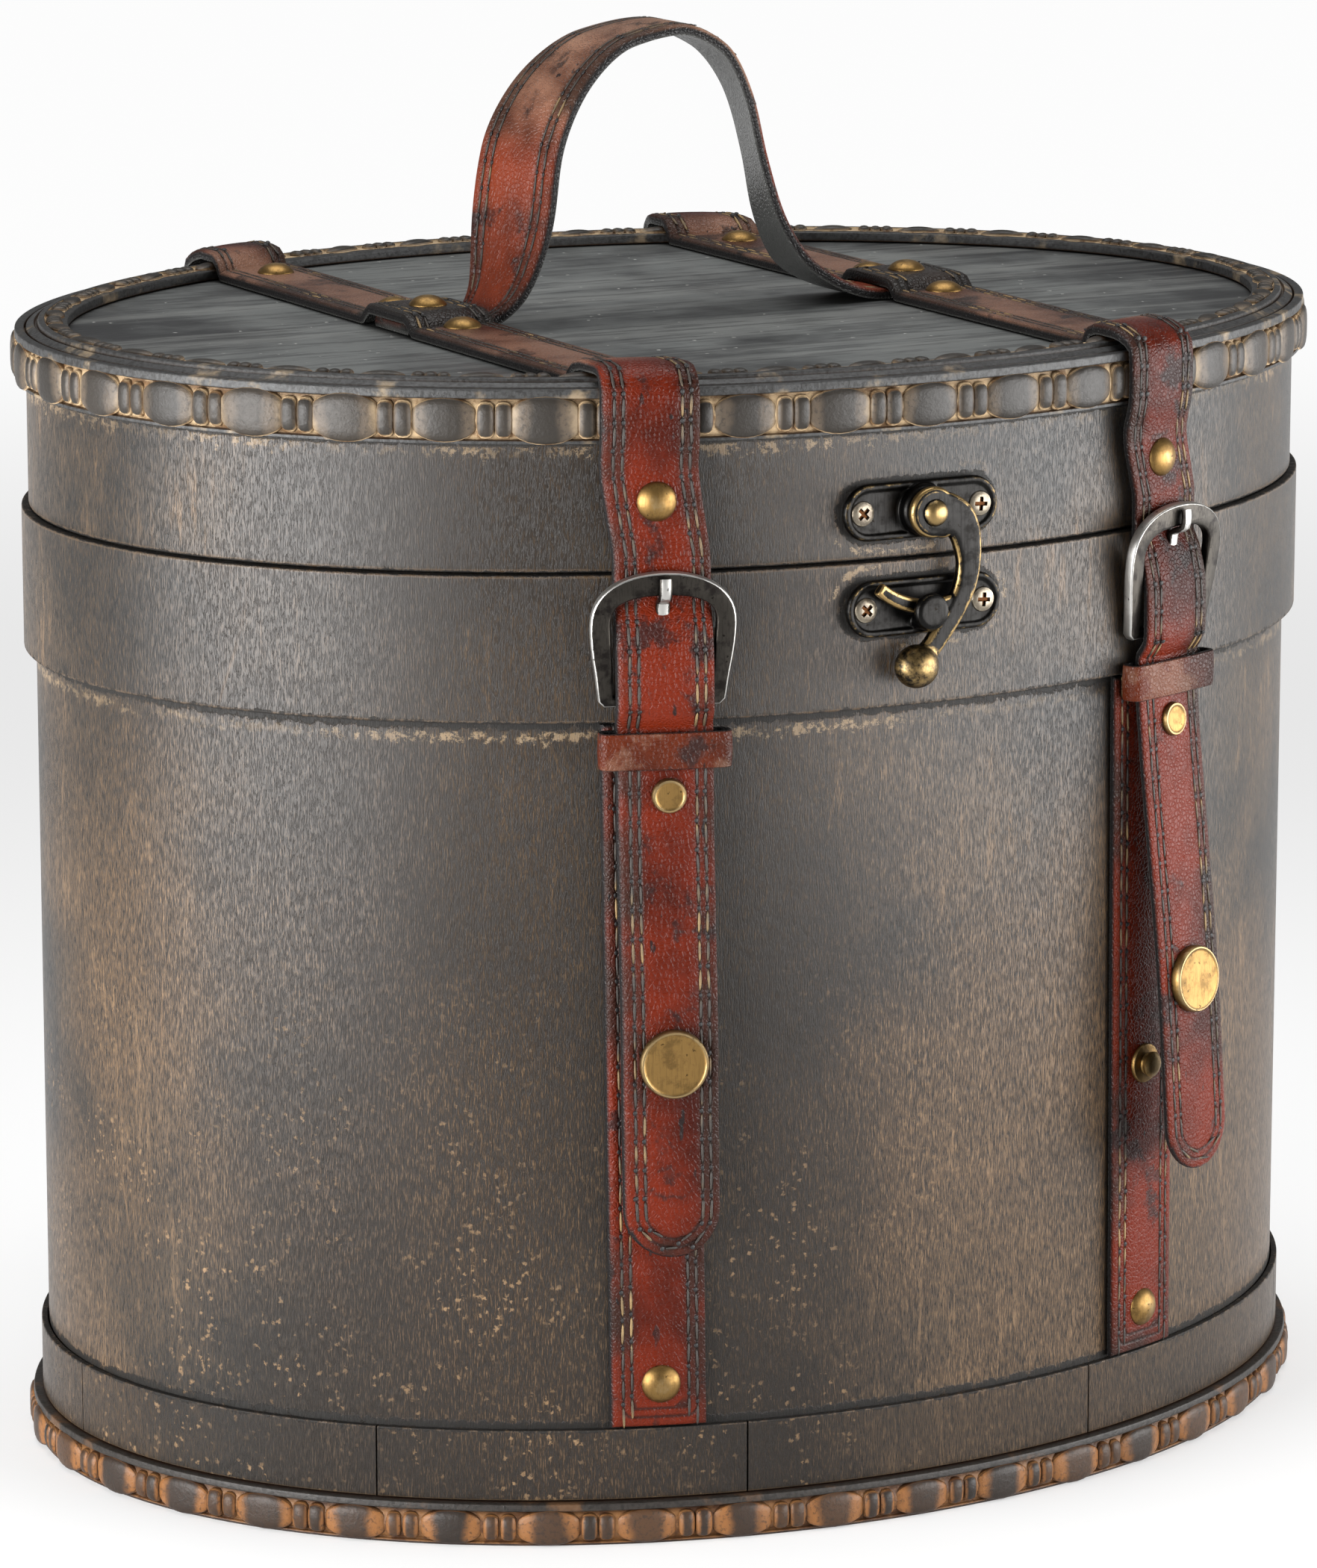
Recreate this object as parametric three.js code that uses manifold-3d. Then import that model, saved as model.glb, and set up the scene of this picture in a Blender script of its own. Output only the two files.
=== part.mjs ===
import * as THREE from 'three';
import { mergeVertices } from 'three/addons/utils/BufferGeometryUtils.js';
import Module from 'manifold-3d';

// An oval wooden storage box with a hinged lid, two buckled leather straps, a swing latch and a handle.
// Millimetres, +Z up. The front faces -Y, and the origin lies under the middle of the base.

// Clearance between pieces that touch, and for the pin and shank holes
const GAP = 0.3;

// Body
const BODY_LENGTH = 300;
const BODY_WIDTH = 231;
const BODY_HEIGHT = 215;
const WALL_THICK = 4;
const BOTTOM_THICK = 6;
const BASE_MOULDING_HEIGHT = 9.5;
const BASE_MOULDING_DEPTH = 4.4;
const BASE_BAND_HEIGHT = 16.2;
const BASE_BAND_THICK = 1.4;
const COLLAR_HEIGHT = 32;
const COLLAR_THICK = 2.5;

// Lid
const LID_WALL_HEIGHT = 38.2;
const LID_WALL_PROUD = 1.2;
const PANEL_THICK = 5;
const SIDE_MOULDING_HEIGHT = 11.7;
const SIDE_MOULDING_RISE = 1.5;
const SIDE_MOULDING_DEPTH = 2.9;
const TOP_MOULDING_WIDTH = 9.5;
const TOP_MOULDING_HEIGHT = 3.5;
const MOULDING_FILLET = 2;
const MOULDING_BULGE = 1;

// Leather straps
const STRAP_X = 61.8;
const STRAP_WIDTH = 21;
const STRAP_THICK = 2.4;
const STRAP_DRIFT = 2.6;
const LID_STRAP_BACK_RISE = 6.7;
const RIM_EASE = 3;
const BODY_STRAP_INSET = 0.5;

// Handle
const HANDLE_WIDTH = 21;
const HANDLE_END_WIDTH = 17;
const HANDLE_THICK = 2.4;
const HANDLE_HEIGHT = 64;
const HANDLE_CENTRE_Y = -1;
const HANDLE_END_INSET = 1.5;
const HANDLE_TWIST = 4.2;
const HUMP_RAMP = 4;

// Rivets
const RIVET_RADIUS = 4.3;
const RIVET_HEIGHT = 2.2;
const SHANK_RADIUS = 1.5;
const RIVET_BITE = 2.5;
const TAIL_RIVET_RADIUS = 3.7;
const TAIL_RIVET_HEIGHT = 1.2;
const HOLE_OVERSHOOT = 1;
const HANDLE_RIVET_PITCH = 17.5;
const BACK_RIVET_INSET = 16.5;
const LID_RIVET_RISE = 15.7;
const BODY_RIVET_RISE = 10.3;

// Strap flaps: buckle, keeper, rivet, snap and tip, as drops below the flap's hinge line
const FLAP_RISE = 2.7;
const RIGHT_FLAP_RAISE = 4;
const RIGHT_FLAP_ANGLE = 4;
const LEFT_FLAP_SHIFT = 2.5;
const RIGHT_FLAP_SHIFT = 3;
const LID_STRAP_STAND_OFF = 1.7;
const FLAP_STAND_OFF = 0.5;
const BUCKLE_DROP = 1.2;
const BUCKLE_HEIGHT = 29.5;
const BUCKLE_BAR = 4.2;
const BUCKLE_TOP_BAR = 5;
const BUCKLE_HEEL = 2.2;
const BUCKLE_THICK = 2.4;
const BUCKLE_SIDE_PLAY = 1;
const BUCKLE_TAPER = 2;
const HEEL_CLEARANCE = 1.2;
const PRONG_WIDTH = 2.4;
const PRONG_THICK = 1.4;
const KEEPER_DROP = 40.3;
const KEEPER_HEIGHT = 8;
const KEEPER_WALL = 0.8;
const KEEPER_PLAY = 0.5;
const KEEPER_OVERHANG = 3;
const TAIL_RIVET_DROP = 50.2;
const CAP_DROP = 108.6;
const TIP_DROP = 152;
const CAP_RADIUS = 7.5;
const CAP_THICK = 2.2;
const SOCKET_RADIUS = 5;
const SOCKET_THICK = 2;
const STUD_BELOW_CAP = 16.4;
const STUD_RADIUS = 3;
const STUD_STAND = 3.4;

// Swing latch
const LATCH_X = -1.6;
const LATCH_RISE = 10.5;
const LATCH_PLATE_LENGTH = 38;
const LATCH_PLATE_WIDTH = 12.5;
const LATCH_PLATE_THICK = 1.2;
const LATCH_SCREW_PITCH = 29;
const CATCH_DROP = 20.7;
const HOOK_STAND_OFF = 4.7;
const HOOK_THICK = 2.6;
const HOOK_EYE_RADIUS = 5.6;
const HOOK_ARM_WIDTH = 4.3;
const HOOK_BALL_RADIUS = 4.2;
const SPUR_WIDTH = 2.6;
const SPUR_CLEARANCE = 0.6;
const CATCH_SHANK_WIDTH = 3.2;
const CATCH_SHANK_HEIGHT = 2.8;
const CATCH_HEAD_RADIUS = 3.3;
const CATCH_HEAD_THICK = 1.8;
const PIVOT_HEAD_RADIUS = 3;
const SCREW_HEAD_RADIUS = 2.8;
const SCREW_HEAD_HEIGHT = 0.8;
const SCREW_RADIUS = 1.2;
const SCREW_BITE = 2;

// Back hinges
const HINGE_X = 22;
const HINGE_WIDTH = 16;
const HINGE_LEAF_HEIGHT = 12;
const HINGE_LEAF_THICK = 1;
const KNUCKLE_RADIUS = 1.7;
const PIN_RADIUS = 0.8;

// Facets of the oval rings, of small round pieces and of curved outlines
const OVAL_SEGMENTS = 60;
const ROUND_SEGMENTS = 10;
const CURVE_SEGMENTS = 6;

// Levels and offsets worked out from the sizes above; an offset is a distance outside the body's oval
const HALF_LENGTH = BODY_LENGTH / 2;
const HALF_WIDTH = BODY_WIDTH / 2;
const BASE_BAND_TOP = BASE_MOULDING_HEIGHT + BASE_BAND_HEIGHT;
const COLLAR_BOTTOM = BODY_HEIGHT - COLLAR_HEIGHT;
const COLLAR_OUT = GAP + COLLAR_THICK;
const LID_BOTTOM = BODY_HEIGHT + GAP;
const PANEL_TOP = LID_BOTTOM + LID_WALL_HEIGHT;
const SIDE_IN = LID_WALL_PROUD + GAP;
const SIDE_OUT = SIDE_IN + SIDE_MOULDING_DEPTH;
const SIDE_TOP = PANEL_TOP + SIDE_MOULDING_RISE;
const SIDE_BOTTOM = SIDE_TOP - SIDE_MOULDING_HEIGHT;
const TOP_IN = LID_WALL_PROUD - TOP_MOULDING_WIDTH;
const TOP_BASE = PANEL_TOP + GAP;
const CREST = TOP_BASE + TOP_MOULDING_HEIGHT;
const STRAP_HALF = STRAP_WIDTH / 2;
const FLAP_LINE = LID_BOTTOM + FLAP_RISE;
const LID_RIVET_HEIGHT = LID_BOTTOM + LID_RIVET_RISE;
const BODY_RIVET_HEIGHT = BASE_BAND_TOP + BODY_RIVET_RISE;
const STUD_HEIGHT = FLAP_LINE - CAP_DROP - STUD_BELOW_CAP;
const LATCH_Z = LID_BOTTOM + LATCH_RISE;
const HUMP_Z = TOP_BASE + HANDLE_THICK + GAP;

const wasm = await Module();
wasm.setup();

const FINISHES = {
  wall: { color: 0x3f3a36, roughness: 0.55, metalness: 0 },
  panel: { color: 0x3b4044, roughness: 0.6, metalness: 0 },
  lidMoulding: { color: 0x4a443c, roughness: 0.6, metalness: 0 },
  baseMoulding: { color: 0x8a5a2e, roughness: 0.55, metalness: 0 },
  leather: { color: 0x6e2b1c, roughness: 0.5, metalness: 0 },
  brass: { color: 0x9a7d45, roughness: 0.35, metalness: 1 },
  bronze: { color: 0x3d3730, roughness: 0.4, metalness: 1 },
  gunmetal: { color: 0x55565a, roughness: 0.35, metalness: 1 },
  nickel: { color: 0xa8a08e, roughness: 0.35, metalness: 1 },
};

// Merges shared corners, drops empty triangles and turns the faces outwards.
function closed(geometry) {
  const bare = geometry.clone();
  bare.deleteAttribute('normal');
  bare.deleteAttribute('uv');
  const merged = mergeVertices(bare, 1e-4);
  const index = merged.index.array;
  const corners = [];
  for (let i = 0; i < index.length; i += 3) {
    const [a, b, c] = index.slice(i, i + 3);
    if (a !== b && b !== c && c !== a) corners.push(a, b, c);
  }
  const at = (i) => new THREE.Vector3().fromBufferAttribute(merged.attributes.position, i);
  let volume = 0;
  for (let i = 0; i < corners.length; i += 3) {
    volume += at(corners[i]).dot(at(corners[i + 1]).cross(at(corners[i + 2])));
  }
  if (volume < 0) corners.reverse();
  merged.setIndex(corners);
  return merged;
}

function solidOf(geometry) {
  const mesh = closed(geometry);
  const vertProperties = Float32Array.from(mesh.attributes.position.array);
  const triVerts = Uint32Array.from(mesh.index.array);
  return new wasm.Manifold(new wasm.Mesh({ numProp: 3, vertProperties, triVerts }));
}

function geometryOf(solid) {
  const mesh = solid.getMesh();
  const geometry = new THREE.BufferGeometry();
  geometry.setAttribute('position', new THREE.BufferAttribute(mesh.vertProperties, 3));
  geometry.setIndex(Array.from(mesh.triVerts));
  return geometry;
}

function joined(geometries) {
  return geometryOf(geometries.map(solidOf).reduce((sum, next) => sum.add(next)));
}

// Half the oval's width at x, for an oval at an offset outside the body's wall.
function ovalY(x, offset) {
  return (HALF_WIDTH + offset) * Math.sqrt(1 - (x / (HALF_LENGTH + offset)) ** 2);
}

// A ring round the oval: a section of [offset, z] corners is turned and drawn in to the oval's width.
function ovalRing(section) {
  const profile = section.map(([offset, z]) => new THREE.Vector2(HALF_LENGTH + offset, z));
  const ring = new THREE.LatheGeometry([...profile, profile[0]], OVAL_SEGMENTS).rotateX(Math.PI / 2);
  return drawnIn(ring);
}

function ovalPlate(offset, low, high) {
  const radius = HALF_LENGTH + offset;
  const corners = [[0, low], [radius, low], [radius, high], [0, high]];
  const profile = corners.map(([r, z]) => new THREE.Vector2(r, z));
  return drawnIn(new THREE.LatheGeometry(profile, OVAL_SEGMENTS).rotateX(Math.PI / 2));
}

function drawnIn(turned) {
  const place = turned.attributes.position;
  const narrowing = HALF_LENGTH - HALF_WIDTH;
  for (let i = 0; i < place.count; i += 1) {
    const radius = Math.hypot(place.getX(i), place.getY(i));
    if (radius > narrowing) place.setY(i, place.getY(i) * (radius - narrowing) / radius);
  }
  return turned;
}

// The section of a carved moulding on a wall, with its front edges eased back.
function mouldingSection(inner, depth, low, high) {
  const face = inner + depth - MOULDING_BULGE;
  const crown = inner + depth;
  return [
    [inner, low], [face, low], [crown, low + MOULDING_FILLET],
    [crown, high - MOULDING_FILLET], [face, high], [inner, high],
  ];
}

// A frame on the front wall: X across, Y up along the strap, Z outwards. Slope is its lean outwards going up.
function wallFrame(x, offset, z, slope = 0) {
  const y = -ovalY(x, offset);
  const facing = [x / (HALF_LENGTH + offset) ** 2, y / (HALF_WIDTH + offset) ** 2, 0];
  const normal = new THREE.Vector3(...facing).normalize();
  const across = new THREE.Vector3(-normal.y, normal.x, 0);
  const up = new THREE.Vector3(0, 0, 1).addScaledVector(normal, slope).normalize();
  const out = new THREE.Vector3().crossVectors(across, up);
  return new THREE.Matrix4().makeBasis(across, up, out).setPosition(x, y, z);
}

// A frame facing the front squarely: X right, Y up, Z outwards.
function frontFrame(x, offset, z) {
  const [right, up, out] = [[1, 0, 0], [0, 0, 1], [0, -1, 0]].map((axis) => new THREE.Vector3(...axis));
  return new THREE.Matrix4().makeBasis(right, up, out).setPosition(x, -(HALF_WIDTH + offset), z);
}

function topFrame(x, y, z) {
  return new THREE.Matrix4().setPosition(x, y, z);
}

// A turned piece on its frame's Z axis, from [radius, height] corners that start and end on the axis.
function turned(corners) {
  const profile = corners.map(([radius, height]) => new THREE.Vector2(radius, height));
  return new THREE.LatheGeometry(profile, ROUND_SEGMENTS).rotateX(Math.PI / 2);
}

function rod(radius, low, high) {
  return turned([[0, low], [radius, low], [radius, high], [0, high]]);
}

function block(x, y, z) {
  const size = [x, y, z].map(([low, high]) => high - low);
  const middle = [x, y, z].map(([low, high]) => (low + high) / 2);
  return new THREE.BoxGeometry(...size).translate(...middle);
}

function extruded(shape, depth) {
  return new THREE.ExtrudeGeometry(shape, { depth, bevelEnabled: false, curveSegments: CURVE_SEGMENTS });
}

// Every piece goes into its body's group at the end, after the holes for its fasteners have been cut.
const pieces = new Map();

function piece(body, name, finish, geometry, frame = new THREE.Matrix4()) {
  pieces.set(name, { body, finish, geometry, frame, cuts: [] });
}

function cut(hosts, geometry, frame) {
  hosts.forEach((host) => pieces.get(host).cuts.push(geometry.clone().applyMatrix4(frame)));
}

// A fastener on a frame at the face it holds: head above, shank below, with shank holes in its hosts.
function fasten(body, name, finish, frame, head, shank, hosts) {
  const [shankRadius, depth] = shank;
  const corners = [[0, -depth], [shankRadius, -depth], [shankRadius, GAP], ...head];
  piece(body, name, finish, turned(corners), frame);
  cut(hosts, rod(shankRadius + GAP, -depth - GAP, HOLE_OVERSHOOT), frame);
}

function domeHead(radius, height) {
  return [
    [radius, GAP], [radius * 0.93, GAP + height * 0.45],
    [radius * 0.55, GAP + height * 0.9], [0, GAP + height],
  ];
}

function flatHead(radius, height) {
  return [[radius, GAP], [radius, GAP + height * 0.7], [radius * 0.88, GAP + height], [0, GAP + height]];
}

// Body of the box
const BODY = 'box_body';
piece(BODY, 'body_wall', 'wall', ovalRing([
  [-WALL_THICK, 0], [0, 0], [0, BODY_HEIGHT], [-WALL_THICK, BODY_HEIGHT],
]));
piece(BODY, 'bottom_panel', 'wall', ovalPlate(-WALL_THICK - GAP, 0, BOTTOM_THICK));
piece(BODY, 'base_moulding', 'baseMoulding', ovalRing(
  mouldingSection(GAP, BASE_MOULDING_DEPTH, 0, BASE_MOULDING_HEIGHT),
));
piece(BODY, 'base_band', 'wall', ovalRing([
  [GAP, BASE_MOULDING_HEIGHT + GAP], [GAP + BASE_BAND_THICK, BASE_MOULDING_HEIGHT + GAP],
  [GAP + BASE_BAND_THICK, BASE_BAND_TOP], [GAP, BASE_BAND_TOP],
]));
piece(BODY, 'collar_band', 'wall', ovalRing([
  [GAP, COLLAR_BOTTOM], [COLLAR_OUT, COLLAR_BOTTOM], [COLLAR_OUT, BODY_HEIGHT], [GAP, BODY_HEIGHT],
]));

// Lid shell
const LID = 'lid';
const LID_WALL_IN = LID_WALL_PROUD - WALL_THICK;
piece(LID, 'lid_wall', 'wall', ovalRing([
  [LID_WALL_IN, LID_BOTTOM], [LID_WALL_PROUD, LID_BOTTOM],
  [LID_WALL_PROUD, PANEL_TOP], [LID_WALL_IN, PANEL_TOP],
]));
piece(LID, 'top_panel', 'panel', ovalPlate(LID_WALL_IN - GAP, PANEL_TOP - PANEL_THICK, PANEL_TOP));
piece(LID, 'lid_side_moulding', 'lidMoulding', ovalRing(
  mouldingSection(SIDE_IN, SIDE_MOULDING_DEPTH, SIDE_BOTTOM, SIDE_TOP),
));
const crestInner = TOP_IN + TOP_MOULDING_WIDTH * 0.2;
const crestOuter = TOP_IN + TOP_MOULDING_WIDTH * 0.5;
piece(LID, 'top_moulding', 'lidMoulding', ovalRing([
  [TOP_IN, TOP_BASE], [LID_WALL_PROUD, TOP_BASE], [LID_WALL_PROUD, TOP_BASE + TOP_MOULDING_HEIGHT * 0.5],
  [crestOuter, CREST], [crestInner, CREST], [TOP_IN, TOP_BASE + TOP_MOULDING_HEIGHT * 0.6],
]));

// Straps are strips of three fibres, each at its own x. A station lies on the wall or on the top.
const onWall = (offset, z, side = -1) => ({ offset, z, side });
const onTop = (y, z) => ({ y, z });

// The wall turns away beside the middle, so a strap takes less room along x there than on the top,
// and drifts sideways where it stands off the wall.
const slant = HALF_WIDTH * STRAP_X / (HALF_LENGTH ** 2 * Math.sqrt(1 - (STRAP_X / HALF_LENGTH) ** 2));
const WALL_COSINE = 1 / Math.hypot(1, slant);
const WALL_SINE = slant * WALL_COSINE;

function strapCentre(side, z, offset = 0) {
  const lean = STRAP_DRIFT * Math.max(0, BODY_HEIGHT - z) / BODY_HEIGHT;
  return side * (STRAP_X + WALL_SINE * Math.max(0, offset)) + lean;
}

function fibre(stations, side, across) {
  return stations.map((station) => {
    const narrowing = station.offset > TOP_IN ? WALL_COSINE : 1;
    const half = across * narrowing * (station.half ?? STRAP_HALF);
    const x = strapCentre(side, station.z, station.offset) + (station.shift ?? 0) + half;
    const y = station.y ?? station.side * ovalY(x, station.offset);
    return new THREE.Vector3(x, y, station.z);
  });
}

// The outer face of a fibre that runs up the front, over the top and down the back.
function thickened(inner, thick) {
  return inner.map((point, i) => {
    const before = inner[Math.max(i - 1, 0)];
    const after = inner[Math.min(i + 1, inner.length - 1)];
    const run = Math.hypot(after.y - before.y, after.z - before.z);
    const normal = new THREE.Vector3(0, -(after.z - before.z) / run, (after.y - before.y) / run);
    return point.clone().addScaledVector(normal, thick);
  });
}

// A closed strip from columns of inner and outer points.
function strip(columns) {
  const count = columns[0].inner.length;
  const width = columns.length;
  const ring = 2 * width;
  const points = [];
  const faces = [];
  for (let i = 0; i < count; i += 1) {
    points.push(...columns.map((column) => column.outer[i]));
    points.push(...columns.map((column) => column.inner[i]).reverse());
  }
  for (let i = 0; i < count - 1; i += 1) {
    for (let j = 0; j < ring; j += 1) {
      const [a, b] = [i * ring + j, i * ring + (j + 1) % ring];
      faces.push(a, b, b + ring, a, b + ring, a + ring);
    }
  }
  const last = (count - 1) * ring;
  for (let j = 0; j < width - 1; j += 1) {
    const [a, b, c, d] = [j, j + 1, ring - 2 - j, ring - 1 - j];
    faces.push(a, c, b, a, d, c);
    faces.push(last + a, last + b, last + c, last + a, last + c, last + d);
  }
  const geometry = new THREE.BufferGeometry().setFromPoints(points);
  geometry.setIndex(faces);
  return geometry;
}

function strapStrip(stations, side) {
  return strip([-1, 0, 1].map((across) => {
    const inner = fibre(stations, side, across);
    return { inner, outer: thickened(inner, STRAP_THICK) };
  }));
}

// Lid straps: over the rim at the front, along the top with a hump over the handle's end, and down the back
function rimStations(side, standOff) {
  return [
    onWall(LID_WALL_PROUD + GAP + standOff, SIDE_BOTTOM - 2 * RIM_EASE, side),
    onWall(SIDE_OUT + GAP, SIDE_BOTTOM + MOULDING_FILLET, side),
    onWall(SIDE_OUT + GAP, SIDE_TOP - 2 * MOULDING_FILLET, side),
    onWall(SIDE_OUT, SIDE_TOP, side),
    onWall(SIDE_IN + GAP, SIDE_TOP + MOULDING_FILLET, side),
    onWall(crestOuter + RIM_EASE, CREST + GAP, side),
    onWall(crestInner, CREST + GAP, side),
    onWall(TOP_IN - GAP, CREST - GAP, side),
    onWall(TOP_IN - RIM_EASE, TOP_BASE, side),
  ];
}

const humpHalf = HANDLE_END_WIDTH / 2 + GAP;
const humpStations = [
  onTop(HANDLE_CENTRE_Y - humpHalf - HUMP_RAMP, TOP_BASE),
  onTop(HANDLE_CENTRE_Y - humpHalf, HUMP_Z),
  onTop(HANDLE_CENTRE_Y + humpHalf, HUMP_Z),
  onTop(HANDLE_CENTRE_Y + humpHalf + HUMP_RAMP, TOP_BASE),
];
const FLAP_OFFSET = COLLAR_OUT + FLAP_STAND_OFF;

function lidStrapStations(line, shift) {
  const rim = rimStations(-1, LID_STRAP_STAND_OFF);
  const atRivet = onWall(rim[0].offset, LID_RIVET_HEIGHT - RIVET_RADIUS);
  return [
    { ...onWall(FLAP_OFFSET, line + GAP / 2), shift },
    { ...atRivet, shift: shift * (rim[0].z - atRivet.z) / (rim[0].z - line) },
    ...rim,
    ...humpStations,
    ...rimStations(1, 0).reverse(),
    onWall(LID_WALL_PROUD + GAP, LID_BOTTOM + LID_STRAP_BACK_RISE, 1),
  ];
}

// A flap's strap, from its tip up to its hinge line: behind the buckle's top bar and over its heel bar
const HEEL_OFFSET = FLAP_OFFSET + BUCKLE_THICK + HEEL_CLEARANCE;

function flapStations(line, flare, shift) {
  const keeper = line - KEEPER_DROP;
  const fall = Math.cos(Math.atan(flare));
  const hung = (offset, drop, half) => {
    const z = keeper - (drop - KEEPER_DROP) * fall;
    return { ...onWall(offset + flare * (keeper - z), z), half };
  };
  const buckled = (offset, drop) => onWall(offset, line - drop);
  const KEPT = FLAP_OFFSET + KEEPER_WALL + KEEPER_PLAY;
  const FREE = KEPT + SOCKET_THICK;
  return [
    hung(FREE, TIP_DROP, STRAP_HALF * 0.35),
    hung(FREE, TIP_DROP - STRAP_HALF * 0.3, STRAP_HALF * 0.75),
    hung(FREE, TIP_DROP - STRAP_HALF, STRAP_HALF),
    { ...hung(FREE, CAP_DROP), cap: true },
    hung((KEPT + FREE) / 2, (CAP_DROP + TAIL_RIVET_DROP) / 2),
    hung(KEPT, TAIL_RIVET_DROP + TAIL_RIVET_RADIUS),
    hung(KEPT, KEEPER_DROP),
    buckled(KEPT, KEEPER_DROP - KEEPER_HEIGHT * 0.65),
    buckled(HEEL_OFFSET, BUCKLE_DROP + BUCKLE_HEIGHT),
    buckled(HEEL_OFFSET, BUCKLE_DROP + BUCKLE_HEIGHT * 0.7),
    buckled((HEEL_OFFSET + FLAP_OFFSET) / 2, BUCKLE_DROP + BUCKLE_HEIGHT * 0.4),
    buckled(FLAP_OFFSET, BUCKLE_DROP + BUCKLE_TOP_BAR + STRAP_THICK),
    onWall(FLAP_OFFSET, line - GAP / 2),
  ].map((station) => ({ ...station, shift }));
}

// A frame on the inner face of a strap, at a height, with the strap's own slope there
function strapFrame(stations, side, z) {
  const i = stations.findIndex((station) => station.z > z);
  const [low, high] = [stations[i - 1], stations[i]];
  const share = (z - low.z) / (high.z - low.z);
  const offset = THREE.MathUtils.lerp(low.offset, high.offset, share);
  const shift = THREE.MathUtils.lerp(low.shift ?? 0, high.shift ?? 0, share);
  const slope = (high.offset - low.offset) / (high.z - low.z);
  return wallFrame(strapCentre(side, z, offset) + shift, offset, z, slope);
}

function raised(frame, height) {
  return frame.clone().multiply(new THREE.Matrix4().makeTranslation(0, 0, height));
}

function buckleShape() {
  const half = STRAP_HALF + BUCKLE_SIDE_PLAY + BUCKLE_BAR;
  const inner = STRAP_HALF + BUCKLE_SIDE_PLAY;
  const shoulder = BUCKLE_HEIGHT * 0.62;
  const top = BUCKLE_HEIGHT - BUCKLE_TOP_BAR;
  const shape = new THREE.Shape();
  shape.moveTo(BUCKLE_TAPER - half, 0);
  shape.lineTo(half - BUCKLE_TAPER, 0);
  shape.lineTo(half, shoulder);
  shape.bezierCurveTo(half, BUCKLE_HEIGHT * 0.88, half * 0.55, BUCKLE_HEIGHT, 0, BUCKLE_HEIGHT);
  shape.bezierCurveTo(-half * 0.55, BUCKLE_HEIGHT, -half, BUCKLE_HEIGHT * 0.88, -half, shoulder);
  const hole = new THREE.Path();
  hole.moveTo(-inner, BUCKLE_HEEL);
  hole.lineTo(inner, BUCKLE_HEEL);
  hole.lineTo(inner, top - BUCKLE_BAR);
  hole.bezierCurveTo(inner, top, inner * 0.7, top, 0, top);
  hole.bezierCurveTo(-inner * 0.7, top, -inner, top, -inner, top - BUCKLE_BAR);
  shape.holes.push(hole);
  return shape;
}

// A ribbon of even width along a curve, as a flat outline
function ribbonShape(points, width) {
  const curve = new THREE.SplineCurve(points.map(([x, y]) => new THREE.Vector2(x, y)));
  const left = [];
  const right = [];
  for (let i = 0; i <= CURVE_SEGMENTS * 2; i += 1) {
    const share = i / (CURVE_SEGMENTS * 2);
    const middle = curve.getPoint(share);
    const along = curve.getTangent(share);
    const sideways = new THREE.Vector2(-along.y, along.x).multiplyScalar(width / 2);
    left.push(middle.clone().add(sideways));
    right.push(middle.clone().sub(sideways));
  }
  return new THREE.Shape([...left, ...right.reverse()]);
}

// The prong lies behind the strap from the heel bar up, comes out through its hole and rests on the top bar
function prongPath() {
  const behind = PRONG_THICK / 2;
  const front = BUCKLE_THICK + GAP + PRONG_THICK / 2;
  return [
    [behind, BUCKLE_HEEL + GAP], [behind, BUCKLE_HEIGHT * 0.4], [front, BUCKLE_HEIGHT * 0.68],
    [front, BUCKLE_HEIGHT + GAP],
  ];
}

function prongShape(clearance = 0) {
  const half = PRONG_THICK / 2 + clearance;
  const path = prongPath();
  const back = path.map(([x, y]) => new THREE.Vector2(x - half, y));
  const front = path.map(([x, y]) => new THREE.Vector2(x + half, y));
  return new THREE.Shape([...front, ...back.reverse()]);
}

// Turns an outline drawn as [outwards, up] into a slab across the strap.
function sideways(shape, width) {
  return extruded(shape, width).translate(0, 0, -width / 2).rotateY(-Math.PI / 2);
}

function keeperGeometry() {
  const half = STRAP_HALF + KEEPER_OVERHANG;
  const room = STRAP_THICK + 2 * KEEPER_PLAY;
  const loop = (grow) => {
    const outline = new THREE.Shape();
    const radius = room / 2 + grow;
    outline.absarc(half - room / 2, room / 2 - KEEPER_PLAY, radius, -Math.PI / 2, Math.PI / 2);
    outline.absarc(room / 2 - half, room / 2 - KEEPER_PLAY, radius, Math.PI / 2, Math.PI * 1.5);
    return outline;
  };
  const shape = loop(KEEPER_WALL);
  shape.holes.push(loop(0));
  return extruded(shape, KEEPER_HEIGHT).translate(0, 0, -KEEPER_HEIGHT / 2).rotateX(Math.PI / 2);
}

const RIGHT_FLARE = Math.tan(THREE.MathUtils.degToRad(RIGHT_FLAP_ANGLE));
const SIDES = [
  { name: 'left', side: -1, line: FLAP_LINE, flare: 0, shift: LEFT_FLAP_SHIFT },
  { name: 'right', side: 1, line: FLAP_LINE + RIGHT_FLAP_RAISE, flare: RIGHT_FLARE, shift: RIGHT_FLAP_SHIFT },
];

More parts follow.
